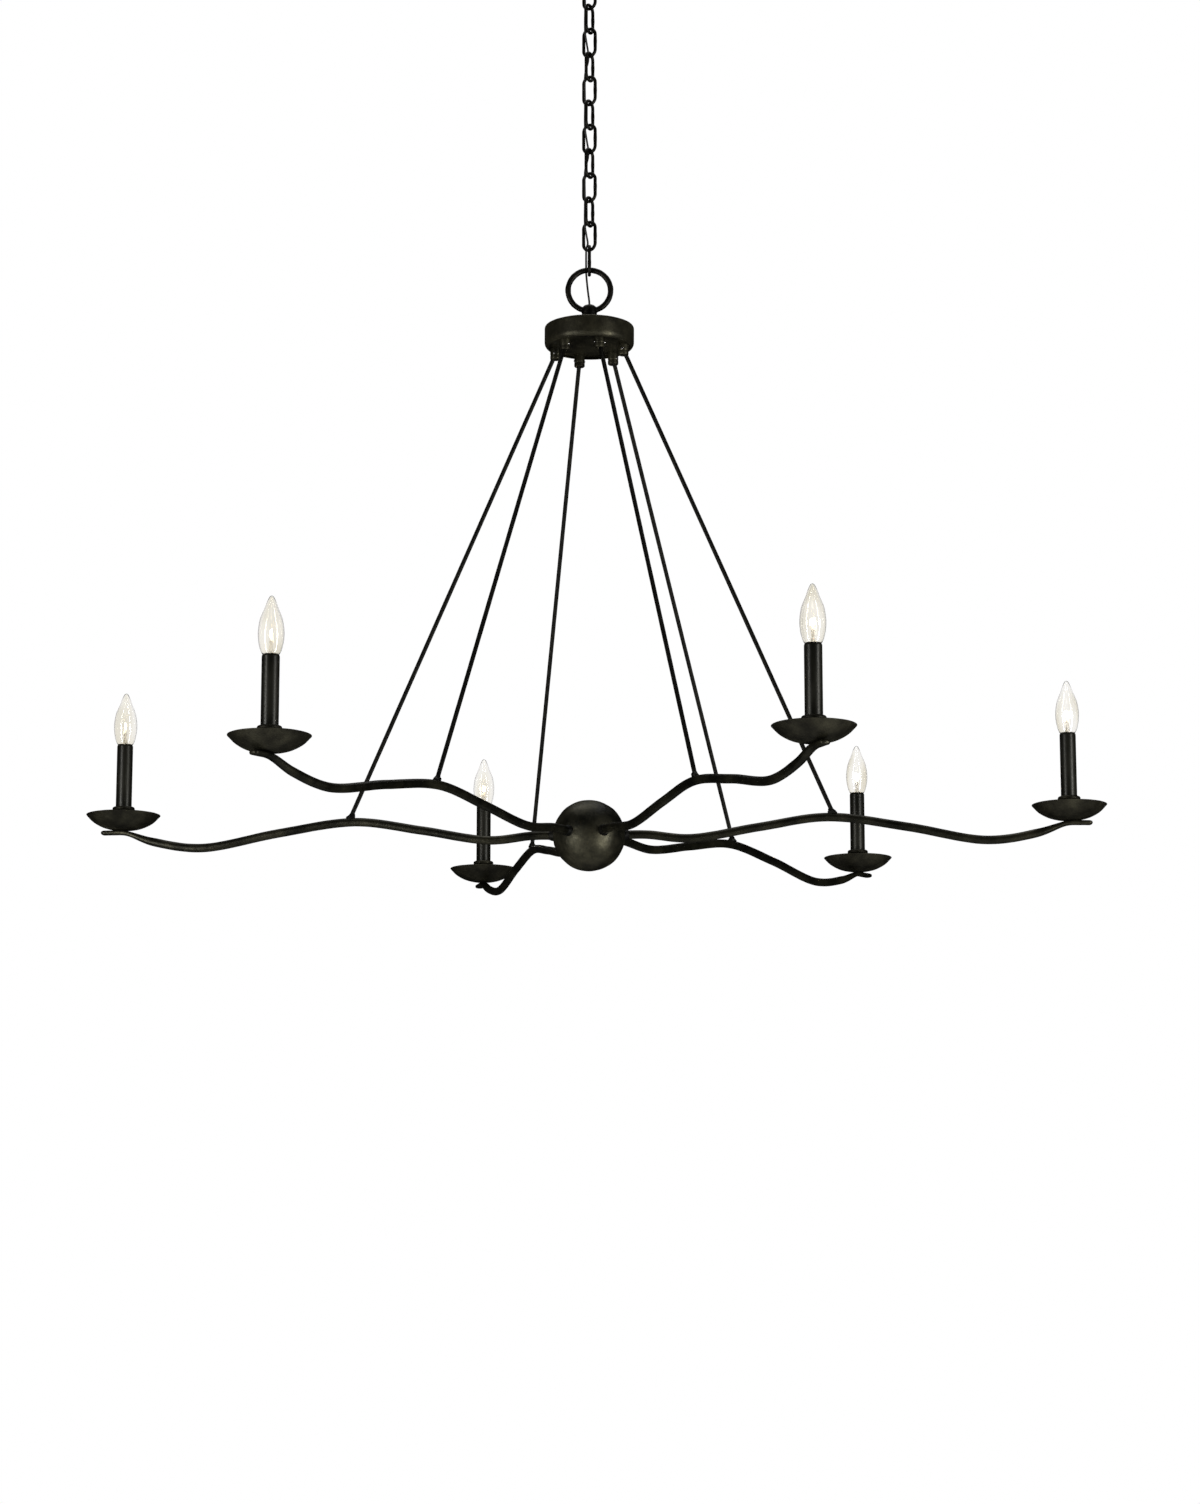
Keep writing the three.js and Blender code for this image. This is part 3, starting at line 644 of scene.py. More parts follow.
def canopy():
    foot = -CANOPY_DEPTH
    inner = CANOPY_RADIUS - CANOPY_WALL
    outside = [
        (CANOPY_RADIUS * 0.28, foot),
        (CANOPY_RADIUS * 0.34, foot + 1.2 * MM),
        (CANOPY_RADIUS * 0.42, foot + 5 * MM),
        (CANOPY_RADIUS * 0.60, foot + 7.2 * MM),
        (CANOPY_RADIUS * 0.78, foot + 9.4 * MM),
        (CANOPY_RADIUS * 0.95, foot + 15 * MM),
        (CANOPY_RADIUS, foot + CANOPY_DEPTH - 3 * MM),
    ]
    profile = [
        (STEM_HOLE, foot),
        *smooth_profile(outside),
        (CANOPY_RADIUS, 0),
        (CANOPY_RADIUS - 6 * MM, 0),
        (CANOPY_RADIUS - 6 * MM, -CANOPY_WALL),
        (inner, foot + CANOPY_DEPTH - 4 * MM),
        (inner * 0.94, foot + 16.5 * MM),
        (inner * 0.77, foot + 10.8 * MM),
        (CANOPY_RADIUS * 0.4, foot + 6.8 * MM),
        (CANOPY_RADIUS * 0.26, foot + CANOPY_WALL),
        (STEM_HOLE, foot + CANOPY_WALL),
    ]
    return turned_shell("canopy_dish", profile, 0.5 * MM, 2, steps=96)


placed(hammered(canopy(), 12 * MM, 0.10 * MM), "ceiling_mount", "forged_iron", painted_light_cup_iron, "canopy")

# %% Collar with a knurled grip
GRIP_GROOVES = 30
GRIP_DEPTH = 0.28 * MM
GRIP_BAND = 1.4 * MM


def canopy_collar():
    foot = foot_of("canopy_collar")
    top = top_of("canopy_collar")
    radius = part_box("canopy_collar")[1].y
    profile = [
        (STEM_HOLE, foot),
        (radius - 1.8 * MM, foot),
        (radius - 0.5 * MM, foot + 1.6 * MM),
        (radius - 0.5 * MM, top - 1.2 * MM),
        (radius - 1.2 * MM, top),
        (STEM_HOLE, top),
    ]
    collar = turned_shell("canopy_collar_ring", profile, 0.5 * MM, 3, steps=180)
    for vertex in collar.data.vertices:
        flat = Vector((vertex.co.x, vertex.co.y, 0))
        if flat.length >= radius - GRIP_BAND:
            angle = math.atan2(flat.y, flat.x)
            vertex.co += flat.normalized() * (GRIP_DEPTH * math.cos(GRIP_GROOVES * angle))
    return collar


placed(canopy_collar(), "ceiling_mount", "forged_iron", painted_light_cup_iron, "canopy_collar")

# %% [markdown]
# The crossbar is a strip of zinc-plated steel with two slots. A flat shape with holes is quickest
# as a curve: one outline for the strip and one for each hole, filled, given a thickness, and then
# turned into a mesh.

# %% A plate with holes


def finished_mesh(shape):
    """Takes an object's mesh as its curve or its modifiers make it, and removes the object."""
    bpy.context.view_layer.update()
    graph = bpy.context.evaluated_depsgraph_get()
    solid = bpy.data.meshes.new_from_object(shape.evaluated_get(graph))
    bpy.data.objects.remove(shape)
    mesh = bmesh.new()
    mesh.from_mesh(solid)
    return mesh


def flat_plate(name, outlines, thickness, bevel, height):
    data = bpy.data.curves.new(name, "CURVE")
    data.dimensions = "2D"
    data.fill_mode = "BOTH"
    data.extrude = thickness / 2 - bevel
    data.bevel_depth = bevel
    data.bevel_resolution = 2
    for outline in outlines:
        spline = data.splines.new("POLY")
        spline.points.add(len(outline) - 1)
        for point, (x, y) in zip(spline.points, outline):
            point.co = (x, y, 0, 1)
        spline.use_cyclic_u = True
    shape = bpy.data.objects.new(name + "_outline", data)
    bpy.context.scene.collection.objects.link(shape)
    mesh = finished_mesh(shape)
    bmesh.ops.remove_doubles(mesh, verts=mesh.verts, dist=1e-6)
    bmesh.ops.translate(mesh, verts=mesh.verts, vec=(0, 0, height))
    return object_from_bmesh(name, mesh)


def slot_outline(x, y, length, width, corner_steps=8):
    """A slot with round ends, as long as length over the ends."""
    radius = width / 2
    points = []
    for sign, start in ((1, -90), (-1, 90)):
        for step in range(corner_steps + 1):
            angle = math.radians(start + 180 * step / corner_steps)
            end = x + sign * (length / 2 - radius)
            points.append((end + radius * math.cos(angle), y + radius * math.sin(angle)))
    return points


# %% Crossbar
SLOT_REACH = 36 * MM
SLOT_LENGTH = 16.5 * MM
SLOT_WIDTH = 5.5 * MM
MIDDLE_HOLE = 5.8 * MM


def crossbar():
    low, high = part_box("crossbar")
    bevel = 0.25 * MM
    half_x = high.x - bevel
    half_y = high.y - bevel
    strip = [(-half_x, -half_y), (half_x, -half_y), (half_x, half_y), (-half_x, half_y)]
    strip = eased(strip, 3 * MM, 5, closed=True)
    slots = [slot_outline(sign * SLOT_REACH, 0, SLOT_LENGTH, SLOT_WIDTH) for sign in (-1, 1)]
    outlines = [strip, *slots, round_points(MIDDLE_HOLE, 32)]
    return flat_plate("crossbar_strap", outlines, high.z - low.z, bevel, (low.z + high.z) / 2)


placed(crossbar(), "ceiling_mount", "bracket_steel", zinc_plate, "crossbar")

# %% [markdown]
# ## The canopy loop
#
# On the real lamp this is a casting: a small ring that grows out of a threaded stem. Two closed
# meshes that pass into each other would show a hard crease between them, so they are joined with
# a voxel remesh, which makes one skin of both, and softened until the crease reads as a cast
# fillet.

# %% Fuse pieces into one skin


def fused(name, pieces, voxel, rounds=3):
    """Joins closed pieces that pass into each other into one skin, with fillets where they meet."""
    both = bmesh.new()
    for piece in pieces:
        both.from_mesh(piece.data)
        bpy.data.objects.remove(piece)
    base = object_from_bmesh(name + "_parts", both)
    skin = base.modifiers.new("skin", "REMESH")
    skin.mode = "VOXEL"
    skin.voxel_size = voxel
    soften = base.modifiers.new("soften", "SMOOTH")
    soften.iterations = rounds
    soften.factor = 0.5
    return object_from_bmesh(name, finished_mesh(base), sharp_angle=60)


def ring_line(middle, radius, turn, steps=64):
    """A circle that stands upright, with its width along the direction turn, in degrees."""
    across = Vector((math.cos(math.radians(turn)), math.sin(math.radians(turn)), 0))
    return [middle + across * x + Vector((0, 0, z)) for x, z in round_points(radius, steps)]


# %% Canopy loop
STEM_RADIUS = 5 * MM
STEM_SURFACE = STEM_RADIUS - 0.1 * MM
CORD_HOLE = 2.1 * MM


def canopy_loop():
    middle = Vector((0, 0, loop_middle))
    line = ring_line(middle, LOOP_RADIUS, WIDE_LINK_TURN + 90)
    ring = swept("loop_ring", line, round_outline(LOOP_WIRE / 2), loop=True)
    profile = [
        (CORD_HOLE, loop_middle + LOOP_RADIUS - LOOP_WIRE * 0.56),
        (5.6 * MM, loop_middle + LOOP_RADIUS - 1 * MM),
        (6.6 * MM, loop_neck_top - 1.4 * MM),
        (6.8 * MM, loop_neck_top - 0.3 * MM),
        (STEM_SURFACE, loop_neck_top),
        (STEM_SURFACE, -0.6 * MM),
        (CORD_HOLE, -0.6 * MM),
    ]
    stem = turned_shell("loop_stem", profile, 0.5 * MM, 3, steps=48)
    return fused("canopy_loop_casting", [ring, stem], 0.55 * MM, 2)


placed(canopy_loop(), "ceiling_mount", "forged_iron", chain_iron, "canopy_loop")

# %% [markdown]
# ## The chain
#
# Every link is a length of round wire bent into an oval and closed with a weld on one leg. Its
# line is two half circles and two straight legs. The weld shows as a slight swelling, so the
# section grows a little there. Each link rides on its own body, square to the one above, and the
# last one is turned to sit across the big ring.

# %% Twelve links
LINK_BEND = 10 * MM
WELD_SWELL = 0.12
WELD_STEPS = 2.2


def link_line(bend, half, steps=20):
    """An oval in the plane of the first and third axis, starting halfway up one leg."""
    straight = half - bend
    leg = 6
    over = [math.pi * i / steps for i in range(steps)]
    under = [math.pi + angle for angle in over]
    points = [(bend, straight * i / leg) for i in range(leg)]
    points += [(bend * math.cos(a), straight + bend * math.sin(a)) for a in over]
    points += [(-bend, straight - straight * i / leg) for i in range(2 * leg)]
    points += [(bend * math.cos(a), -straight + bend * math.sin(a)) for a in under]
    points += [(bend, -straight + straight * i / leg) for i in range(leg)]
    return [Vector((x, 0, z)) for x, z in points]


def chain_link(number):
    wide = number % 2 == 1
    turn = 90 if number == LINKS else WIDE_LINK_TURN + (0 if wide else 90)
    line = link_line(LINK_BEND, link_half)
    count = len(line)

    def section(index):
        from_weld = min(index, count - index) / WELD_STEPS
        swell = 1 + WELD_SWELL * math.exp(-from_weld * from_weld)
        return round_points(LINK_WIRE / 2 * swell)

    link = swept(f"link_{number:02d}_wire", line, section, side=(0, 1, 0), loop=True)
    hammered(link, 6 * MM, 0.12 * MM, seed=number)
    place = Matrix.Translation((0, 0, link_middles[number - 1]))
    link.data.transform(place @ Matrix.Rotation(math.radians(turn), 4, "Z"))
    node = f"chain_link_{number:02d}"
    placed(link, f"link_{number:02d}", "chain_iron", chain_iron, node)


for number in range(1, LINKS + 1):
    chain_link(number)
print(LINKS, "links from", round(link_middles[0], 3), "to", round(link_middles[-1], 3), "m")

# %% [markdown]
# ## Big ring and hub
#
# The ring is heavy round bar, and the hub is a rough cast dome that swallows its lowest part. The
# two are one casting, so they are fused like the canopy loop, and then hammered, because the real
# dome is lumpy. The cord goes down a hole through the middle. A brass nut inside the cup holds
# the stem.

# %% Big ring and hub
HUB_RADIUS = 11.5 * MM
HUB_STEM = 15 * MM


def top_loop():
    line = ring_line(Vector((0, 0, ring_middle)), RING_RADIUS, 0, 96)
    ring = swept("big_ring", line, round_outline(RING_WIRE / 2, 24), side=(0, 1, 0), loop=True)
    profile = [
        (CORD_HOLE, cup_top - HUB_STEM),
        (STEM_SURFACE, cup_top - HUB_STEM),
        (STEM_SURFACE, hub_foot + 0.2 * MM),
        (HUB_RADIUS * 0.96, hub_foot + 0.2 * MM),
        (HUB_RADIUS, hub_foot + 3 * MM),
        (HUB_RADIUS, hub_top - 8 * MM),
        (HUB_RADIUS * 0.93, hub_top - 4.6 * MM),
        (HUB_RADIUS * 0.72, hub_top - 1.9 * MM),
        (HUB_RADIUS * 0.45, hub_top - 0.5 * MM),
        (CORD_HOLE, hub_top - 0.1 * MM),
    ]
    hub = turned_shell("rough_dome", profile, 1 * MM, 3)
    casting = fused("big_ring_and_hub", [ring, hub], 0.75 * MM, 3)
    return hammered(hammered(casting, 7 * MM, 0.35 * MM, 4), 2.2 * MM, 0.10 * MM, 9)


placed(top_loop(), "chandelier", "forged_iron", chain_iron, "top_loop")

# %% Locknut inside the cup


def locknut():
    low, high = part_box("loop_locknut")
    hole = STEM_RADIUS + 0.3 * MM
    radius = high.x - 0.2 * MM
    chamfer = 0.8 * MM
    corners = full_turn(12)
    flat = math.cos(math.pi / 6)
    hexagon = [1, flat] * 6
    round_hole = [1] * 12
    levels = [
        (low.z, radius - chamfer, hexagon),
        (low.z + chamfer, radius, hexagon),
        (high.z - chamfer, radius, hexagon),
        (high.z, radius - chamfer, hexagon),
        (high.z, hole, round_hole),
        (low.z, hole, round_hole),
    ]
    rows = []
    for z, reach, shape in levels:
        reaches = [reach * share for share in shape]
        pairs = zip(reaches, corners)
        rows.append([Vector((r * math.cos(a), r * math.sin(a), z)) for r, a in pairs])
    return object_from_rings("locknut_hexagon", rows, loop=True)


placed(locknut(), "chandelier", "brass_nut", plain_brass, "loop_locknut")
print("hub from", round(hub_foot, 4), "to", round(hub_top, 4), "m")

# %% [markdown]
# ## The collector
#
# The cup is spun from sheet: a flat top, a straight side and a rolled-in lower edge. A thin plate
# closes it from below, with six turned couplers in it. Each coupler takes the upper end of one
# rod, and a bright cross pin holds the rod.

# %% Cup
CUP_WALL = 1.5 * MM
CUP_LIP = 6 * MM
cup_foot = foot_of("collector_cup")
cup_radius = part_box("collector_cup")[1].x


def collector_cup():
    inner = cup_radius - CUP_WALL
    hole = STEM_RADIUS + 0.5 * MM
    profile = [
        (hole, cup_top - CUP_WALL),
        (hole, cup_top),
        (cup_radius - 2.6 * MM, cup_top),
        (cup_radius - 0.5 * MM, cup_top - 0.9 * MM),
        (cup_radius, cup_top - 3 * MM),
        (cup_radius, cup_foot + 7.4 * MM),
        (cup_radius - 0.5 * MM, cup_foot + 4.6 * MM),
        (cup_radius - 2.4 * MM, cup_foot + 1.5 * MM),
        (cup_radius - CUP_LIP + 0.6 * MM, cup_foot),
        (cup_radius - CUP_LIP, cup_foot + 0.7 * MM),
        (cup_radius - CUP_LIP + 0.4 * MM, cup_foot + CUP_WALL + 0.4 * MM),
        (inner - 1.6 * MM, cup_foot + 3.4 * MM),
        (inner, cup_foot + 7.6 * MM),
        (inner, cup_top - CUP_WALL - 2 * MM),
        (inner - 2 * MM, cup_top - CUP_WALL),
    ]
    cup = turned_shell("spun_cup", profile, 1.2 * MM, 4, steps=128)
    return hammered(cup, 16 * MM, 0.14 * MM, 2)


placed(collector_cup(), "chandelier", "forged_iron", painted_light_cup_iron, "collector_cup")

# %% Where the couplers and the rods are
AZIMUTHS = dict(zip(SIDES, (0, 51.5, 104.5, 171.5, 234, 294)))
COUPLER_TURN = -13.5
COUPLER_CIRCLE = 52 * MM
COUPLER_RADIUS = 7.9 * MM
COUPLER_PIN_HEIGHT = 9 * MM
ROD_RADIUS = 3.175 * MM
ROD_INSIDE = 4 * MM
ROD_FOOT = 355 * MM
ARM_RADIUS = 6.35 * MM
ARM_ROUTE = [
    (41.5, 1.0),
    (83.5, 1.6),
    (147, -3.8),
    (247.5, 12.85),
    (348, 27.5),
    (464, 13.2),
    (580, -6.1),
    (654, 4.8),
    (696, 18.6),
    (716.5, 19.5),
    (733, 19.5),
]

coupler_foot = foot_of("collector_plate")
arm_profile = [
    Vector((point.x, point.z))
    for point in smooth_line([(x * MM, 0, z * MM) for x, z in ARM_ROUTE], 14)
]


def arm_height(reach):
    for near, far in zip(arm_profile, arm_profile[1:]):
        if near.x <= reach <= far.x:
            return lerp(near.y, far.y, (reach - near.x) / (far.x - near.x))
    return arm_profile[-1].y


def outwards(degrees, reach, height):
    angle = math.radians(degrees)
    return Vector((reach * math.cos(angle), reach * math.sin(angle), height))


def coupler_angle(side):
    return COUPLER_TURN + 60 * SIDES.index(side)


def rod_ends(side):
    pin = outwards(coupler_angle(side), COUPLER_CIRCLE, coupler_foot + COUPLER_PIN_HEIGHT)
    crest_height = ball_middle.z + arm_height(ROD_FOOT) + ARM_RADIUS
    crest = outwards(AZIMUTHS[side], ROD_FOOT, crest_height)
    down = (crest - pin).normalized()
    return pin - down * ROD_INSIDE, crest - down * (1.5 * MM), down


print("rods are", round((rod_ends("right")[0] - rod_ends("right")[1]).length, 3), "m long")

# %% Plate with six couplers


def coupler_profile(foot, top):
    return [
        (0, foot + 3 * MM),
        (3.6 * MM, foot + 3 * MM),
        (4.0 * MM, foot + 0.3 * MM),
        (5.2 * MM, foot),
        (COUPLER_RADIUS - 1.1 * MM, foot),
        (COUPLER_RADIUS, foot + 1.1 * MM),
        (COUPLER_RADIUS, foot + 6.0 * MM),
        (COUPLER_RADIUS - 0.45 * MM, foot + 6.5 * MM),
        (COUPLER_RADIUS - 0.45 * MM, foot + 7.1 * MM),
        (COUPLER_RADIUS, foot + 7.6 * MM),
        (COUPLER_RADIUS, top),
        (0, top),
    ]


def collector_plate():
    plate_foot = cup_foot + 3.5 * MM
    plate_top = top_of("collector_plate")
    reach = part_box("collector_plate")[1].x - 0.1 * MM
    disc = [
        (0, plate_foot),
        (reach - 0.8 * MM, plate_foot),
        (reach, plate_foot + 0.8 * MM),
        (reach, plate_top - 0.6 * MM),
        (reach - 0.6 * MM, plate_top),
        (0, plate_top),
    ]
    sheet = turned("plate_sheet", eased(disc, 0.4 * MM, 3), steps=96)
    placed(hammered(sheet, 14 * MM, 0.1 * MM, 6), "chandelier", "forged_iron", painted_light_cup_iron)
    profile = eased(coupler_profile(coupler_foot, plate_foot + 1 * MM), 0.5 * MM, 3)
    for side in SIDES:
        spot = outwards(coupler_angle(side), COUPLER_CIRCLE, 0)
        coupler = turned(f"coupler_{side}", profile, spot, steps=40)
        placed(coupler, "chandelier", "forged_iron", painted_light_cup_iron)
    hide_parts("collector_plate")


collector_plate()

# %% Bright cross pins
PIN_RADIUS = 1.9 * MM
BOTH_ENDS = (("a", -1), ("b", 1))


def cross_pins():
    profile = [
        (0, -1.2 * MM),
        (PIN_RADIUS, -1.2 * MM),
        (PIN_RADIUS, 0.35 * MM),
        (PIN_RADIUS - 0.4 * MM, 0.75 * MM),
        (0, 0.9 * MM),
    ]
    profile = eased(profile, 0.25 * MM, 2)
    for side in SIDES:
        spot = outwards(coupler_angle(side), COUPLER_CIRCLE, coupler_foot + COUPLER_PIN_HEIGHT)
        across = outwards(coupler_angle(side) + 90, 1, 0)
        for letter, end in BOTH_ENDS:
            outward = across * end
            pin = turned(f"cross_pin_{side}_{letter}", profile, steps=20)
            tip = spot + outward * COUPLER_RADIUS
            turn = outward.to_track_quat("Z", "Y").to_matrix().to_4x4()
            pin.data.transform(Matrix.Translation(tip) @ turn)
            placed(pin, "chandelier", "bracket_steel", bright_pin)


cross_pins()
print("six couplers on a circle of", COUPLER_CIRCLE, "m, first one at", COUPLER_TURN, "degrees")

# %% [markdown]
# ## The rods
#
# Six straight round rods lean out from the couplers to the crests of the arms, where each is
# welded on. A rod is a plain sweep with a trace of waviness in its surface, and the weld is a
# small lump that is wider along the arm than across it. The lump is drawn as rings that shrink up
# the rod, each with a wobbling edge.

# %% A lump of weld


def weld_lump(name, rings, centre, wide, tall, corners, wobble):
    """rings is a list of (place, reach in mm). wide and tall are each a direction and a share."""
    rows = []
    for place, size in rings:
        middle = centre(place)
        row = []
        for angle in full_turn(corners):
            reach = size * MM * wobble(angle, place)
            sideways = wide[0] * (reach * wide[1] * math.cos(angle))
            upwards = tall[0] * (reach * tall[1] * math.sin(angle))
            row.append(middle + sideways + upwards)
        rows.append(row)
    placed(object_from_rings(name, rows), "chandelier", "forged_iron", rod_iron)


# %% Rods and their welds
ROD_STEPS = 60
ROD_WELD = [(-3.4, 4.9), (-1.6, 5.9), (0.3, 5.7), (2.0, 4.8), (3.8, 3.9), (5.4, 3.3)]


def rod(side):
    top, foot = rod_ends(side)[:2]
    line = [top.lerp(foot, step / ROD_STEPS) for step in range(ROD_STEPS + 1)]
    bar = swept(f"hanger_rod_{side}", line, round_outline(ROD_RADIUS, 20))
    hammered(bar, 22 * MM, 0.12 * MM, seed=SIDES.index(side))
    placed(bar, "chandelier", "forged_iron", rod_iron, f"rod_{side}")


def weld_bead(side):
    foot, down = rod_ends(side)[1:]
    along_arm = outwards(AZIMUTHS[side], 1, 0)
    across = outwards(AZIMUTHS[side] + 90, 1, 0)
    weld_lump(
        f"rod_weld_{side}",
        ROD_WELD,
        lambda up: foot - down * (up * MM),
        (along_arm, 1.15),
        (across, 0.9),
        28,
        lambda a, up: 1 + 0.10 * math.sin(3 * a + up) + 0.07 * math.sin(7 * a - up),
    )


for side in SIDES:
    rod(side)
    weld_bead(side)

# %% [markdown]
# ## The ball
#
# The ball is a hollow iron sphere, a little flattened, with a rough cast skin. Two sizes of noise
# make its surface: wide shallow lumps that break its highlight into blotches, and a fine pitting.
# Where an arm enters there is a rough collar of weld.

# %% Ball with a cast skin
BALL_STEPS = 72


def hub_ball():
    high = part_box("hub_ball")[1]
    half_height = high.z - ball_middle.z
    profile = [(0, -half_height)]
    for step in range(1, BALL_STEPS):
        angle = -math.pi / 2 + math.pi * step / BALL_STEPS
        profile.append((high.x * math.cos(angle), half_height * math.sin(angle)))
    profile.append((0, half_height))
    ball = turned("cast_ball", profile, ball_middle, steps=144)
    hammered(ball, 15 * MM, 0.55 * MM, 3)
    return hammered(ball, 3.2 * MM, 0.14 * MM, 8)


placed(hub_ball(), "chandelier", "forged_iron", ball_iron, "hub_ball")

# %% Weld collars round the arms
BALL_WELD = [(-3.4, 9.0), (-1.4, 8.6), (0.4, 8.1), (2.4, 7.6), (4.4, 7.0), (6.2, 6.4)]
ARM_ROOT_HEIGHT = 1.2 * MM


def weld_collar(side):
    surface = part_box("hub_ball")[1].x
    way = outwards(AZIMUTHS[side], 1, 0)
    across = outwards(AZIMUTHS[side] + 90, 1, 0)
    root = ball_middle + Vector((0, 0, ARM_ROOT_HEIGHT))
    weld_lump(
        f"ball_weld_{side}",
        BALL_WELD,
        lambda out: root + way * (surface + out * MM),
        (across, 1),
        (Vector((0, 0, 1)), 1),
        40,
        lambda a, out: 1 + 0.05 * math.sin(4 * a + out) + 0.05 * math.sin(9 * a - 2 * out),
    )


for side in SIDES:
    weld_collar(side)

# %% [markdown]
# ## The arms
#
# Each arm is round bar bent into a slow wave: a dip by the ball, a crest where its rod stands, a
# trough, and a rise to the candle. The last part is hammered flat, so the section widens and
# thins on the way, and the tip is rounded off blunt. The line comes from the same few points on
# every arm.

# %% Wavy arms with flattened tails
TAIL_THICKNESS = 7 * MM
TAIL_WIDENING = 1.12
TAIL_REACH = 733 * MM
CANDLE_REACH = 700 * MM
FLAT_FROM = CANDLE_REACH - 55 * MM
BLUNT_LENGTH = 5 * MM
BLUNT_STEPS = (5, 3.5, 2.2, 1.2, 0.5, 0)
BLUNT_WIDTH_SHARE = 0.6
BLUNT_HEIGHT_SHARE = 0.75
BLUNT_LEAST = 0.02
TAIL_ROUNDNESS = 0.72


def arm_section(reaches):
    """The section is a circle that turns into a flat bar with rounded edges, blunt at its tip."""
    squeeze = TAIL_THICKNESS / (2 * ARM_RADIUS)

    def squared(value, power):
        return math.copysign(abs(value) ** power, value)

    def section(index):
        flat = ease(FLAT_FROM, CANDLE_REACH, reaches[index])
        from_tip = (TAIL_REACH - reaches[index]) / BLUNT_LENGTH
        blunt = 1.0
        if from_tip < 1:
            blunt = math.sqrt(max(1 - (1 - from_tip) ** 2, BLUNT_LEAST))
        half_width = ARM_RADIUS * lerp(1, TAIL_WIDENING, flat) * lerp(1, blunt, BLUNT_WIDTH_SHARE)
        half_height = ARM_RADIUS * lerp(1, squeeze, flat) * lerp(1, blunt, BLUNT_HEIGHT_SHARE)
        power = lerp(1, TAIL_ROUNDNESS, flat)
        return [
            (half_width * squared(math.cos(a), power), half_height * squared(math.sin(a), power))
            for a in full_turn(28)
        ]

    return section


def arm(side):
    tip = arm_profile[-1]
    profile = [p for p in arm_profile[:-1] if p.x < tip.x - BLUNT_LENGTH - 0.1 * MM]
    profile += [Vector((tip.x - back * MM, tip.y)) for back in BLUNT_STEPS]
    line = [outwards(AZIMUTHS[side], p.x, ball_middle.z + p.y) for p in profile]
    across = outwards(AZIMUTHS[side] + 90, 1, 0)
    bar = swept(f"wavy_arm_{side}", line, arm_section([p.x for p in profile]), side=across)
    hammered(bar, 18 * MM, 0.16 * MM, seed=20 + SIDES.index(side))
    placed(bar, "chandelier", "forged_iron", arm_iron, f"arm_{side}")


for side in SIDES:
    arm(side)
print("arms reach", TAIL_REACH, "m and carry the candles at", CANDLE_REACH, "m")

# %% [markdown]
# ## Drip pans and candle cups
#
# A shallow pan catches the wax of a real candle. Here it is spun sheet with a plain turned edge,
# and it stands on the arm's flat seat. A short cup with a bead round its mouth rises from the pan
# and holds the sleeve. Both are turned in one profile, and the corners are eased.

# %% Drip pans
PAN_RADIUS = 54.7 * MM
PAN_DEPTH = 22 * MM
PAN_WALL = 1.3 * MM
SLEEVE_RADIUS = 11.75 * MM
CUP_BORE = 12.1 * MM
CUP_BODY = 13.5 * MM
CUP_BEAD = 16.5 * MM
CUP_TOP = 35 * MM
CUP_FLOOR = 4 * MM
PAN_FOOT = 5 * MM


def candle_spot(side):
    middle = middle_of(f"candle_sleeve_{side}")
    return Vector((middle.x, middle.y, foot_of(f"drip_pan_{side}")))


def drip_pan(side):
    bowl = [
        (PAN_RADIUS * 0.30, PAN_DEPTH * 0.03),
        (PAN_RADIUS * 0.58, PAN_DEPTH * 0.22),
        (PAN_RADIUS * 0.82, PAN_DEPTH * 0.56),
        (PAN_RADIUS * 0.985, PAN_DEPTH * 0.965),
    ]
    under = smooth_profile([(PAN_FOOT, 0), *bowl])
    inside = [(radius - 0.3 * MM, height + PAN_WALL) for radius, height in reversed(under)]
    inside = [point for point in inside if point[0] > CUP_BODY + 1.5 * MM]
    profile = [
        *under,
        (PAN_RADIUS, PAN_DEPTH + 0.1 * MM),
        (PAN_RADIUS - 0.1 * MM, PAN_DEPTH + 0.7 * MM),
        (PAN_RADIUS - 0.9 * MM, PAN_DEPTH + 0.8 * MM),
        *inside,
        (CUP_BODY, PAN_DEPTH * 0.03 + PAN_WALL + 0.5 * MM),
        (CUP_BODY, CUP_TOP - 6.8 * MM),
        (CUP_BEAD - 0.8 * MM, CUP_TOP - 5.6 * MM),
        (CUP_BEAD, CUP_TOP - 4.2 * MM),
        (CUP_BEAD, CUP_TOP - 2.6 * MM),
        (CUP_BEAD - 0.8 * MM, CUP_TOP - 1 * MM),
        (CUP_BODY + 0.4 * MM, CUP_TOP - 0.2 * MM),
        (CUP_BORE, CUP_TOP),
        (CUP_BORE, CUP_FLOOR),
        (PAN_FOOT, CUP_FLOOR),
    ]
    pan = turned_shell(f"pan_{side}", profile, 0.6 * MM, 2, candle_spot(side), 96)
    hammered(pan, 13 * MM, 0.16 * MM, seed=40 + SIDES.index(side))
    placed(pan, "chandelier", "forged_iron", painted_light_pan_iron, f"drip_pan_{side}")


for side in SIDES:
    drip_pan(side)

# %% [markdown]
# The candle sleeve is a painted tube with a rounded rim, and the lamp socket stands inside it.
# The sleeve is thin, so its wall has to be modelled: the rim shows an edge, and the lamp's neck
# comes up out of it.

# %% Candle sleeves and sockets
SLEEVE_TOP = 128.5 * MM
SLEEVE_FOOT = 4.3 * MM
SLEEVE_WALL = 1 * MM


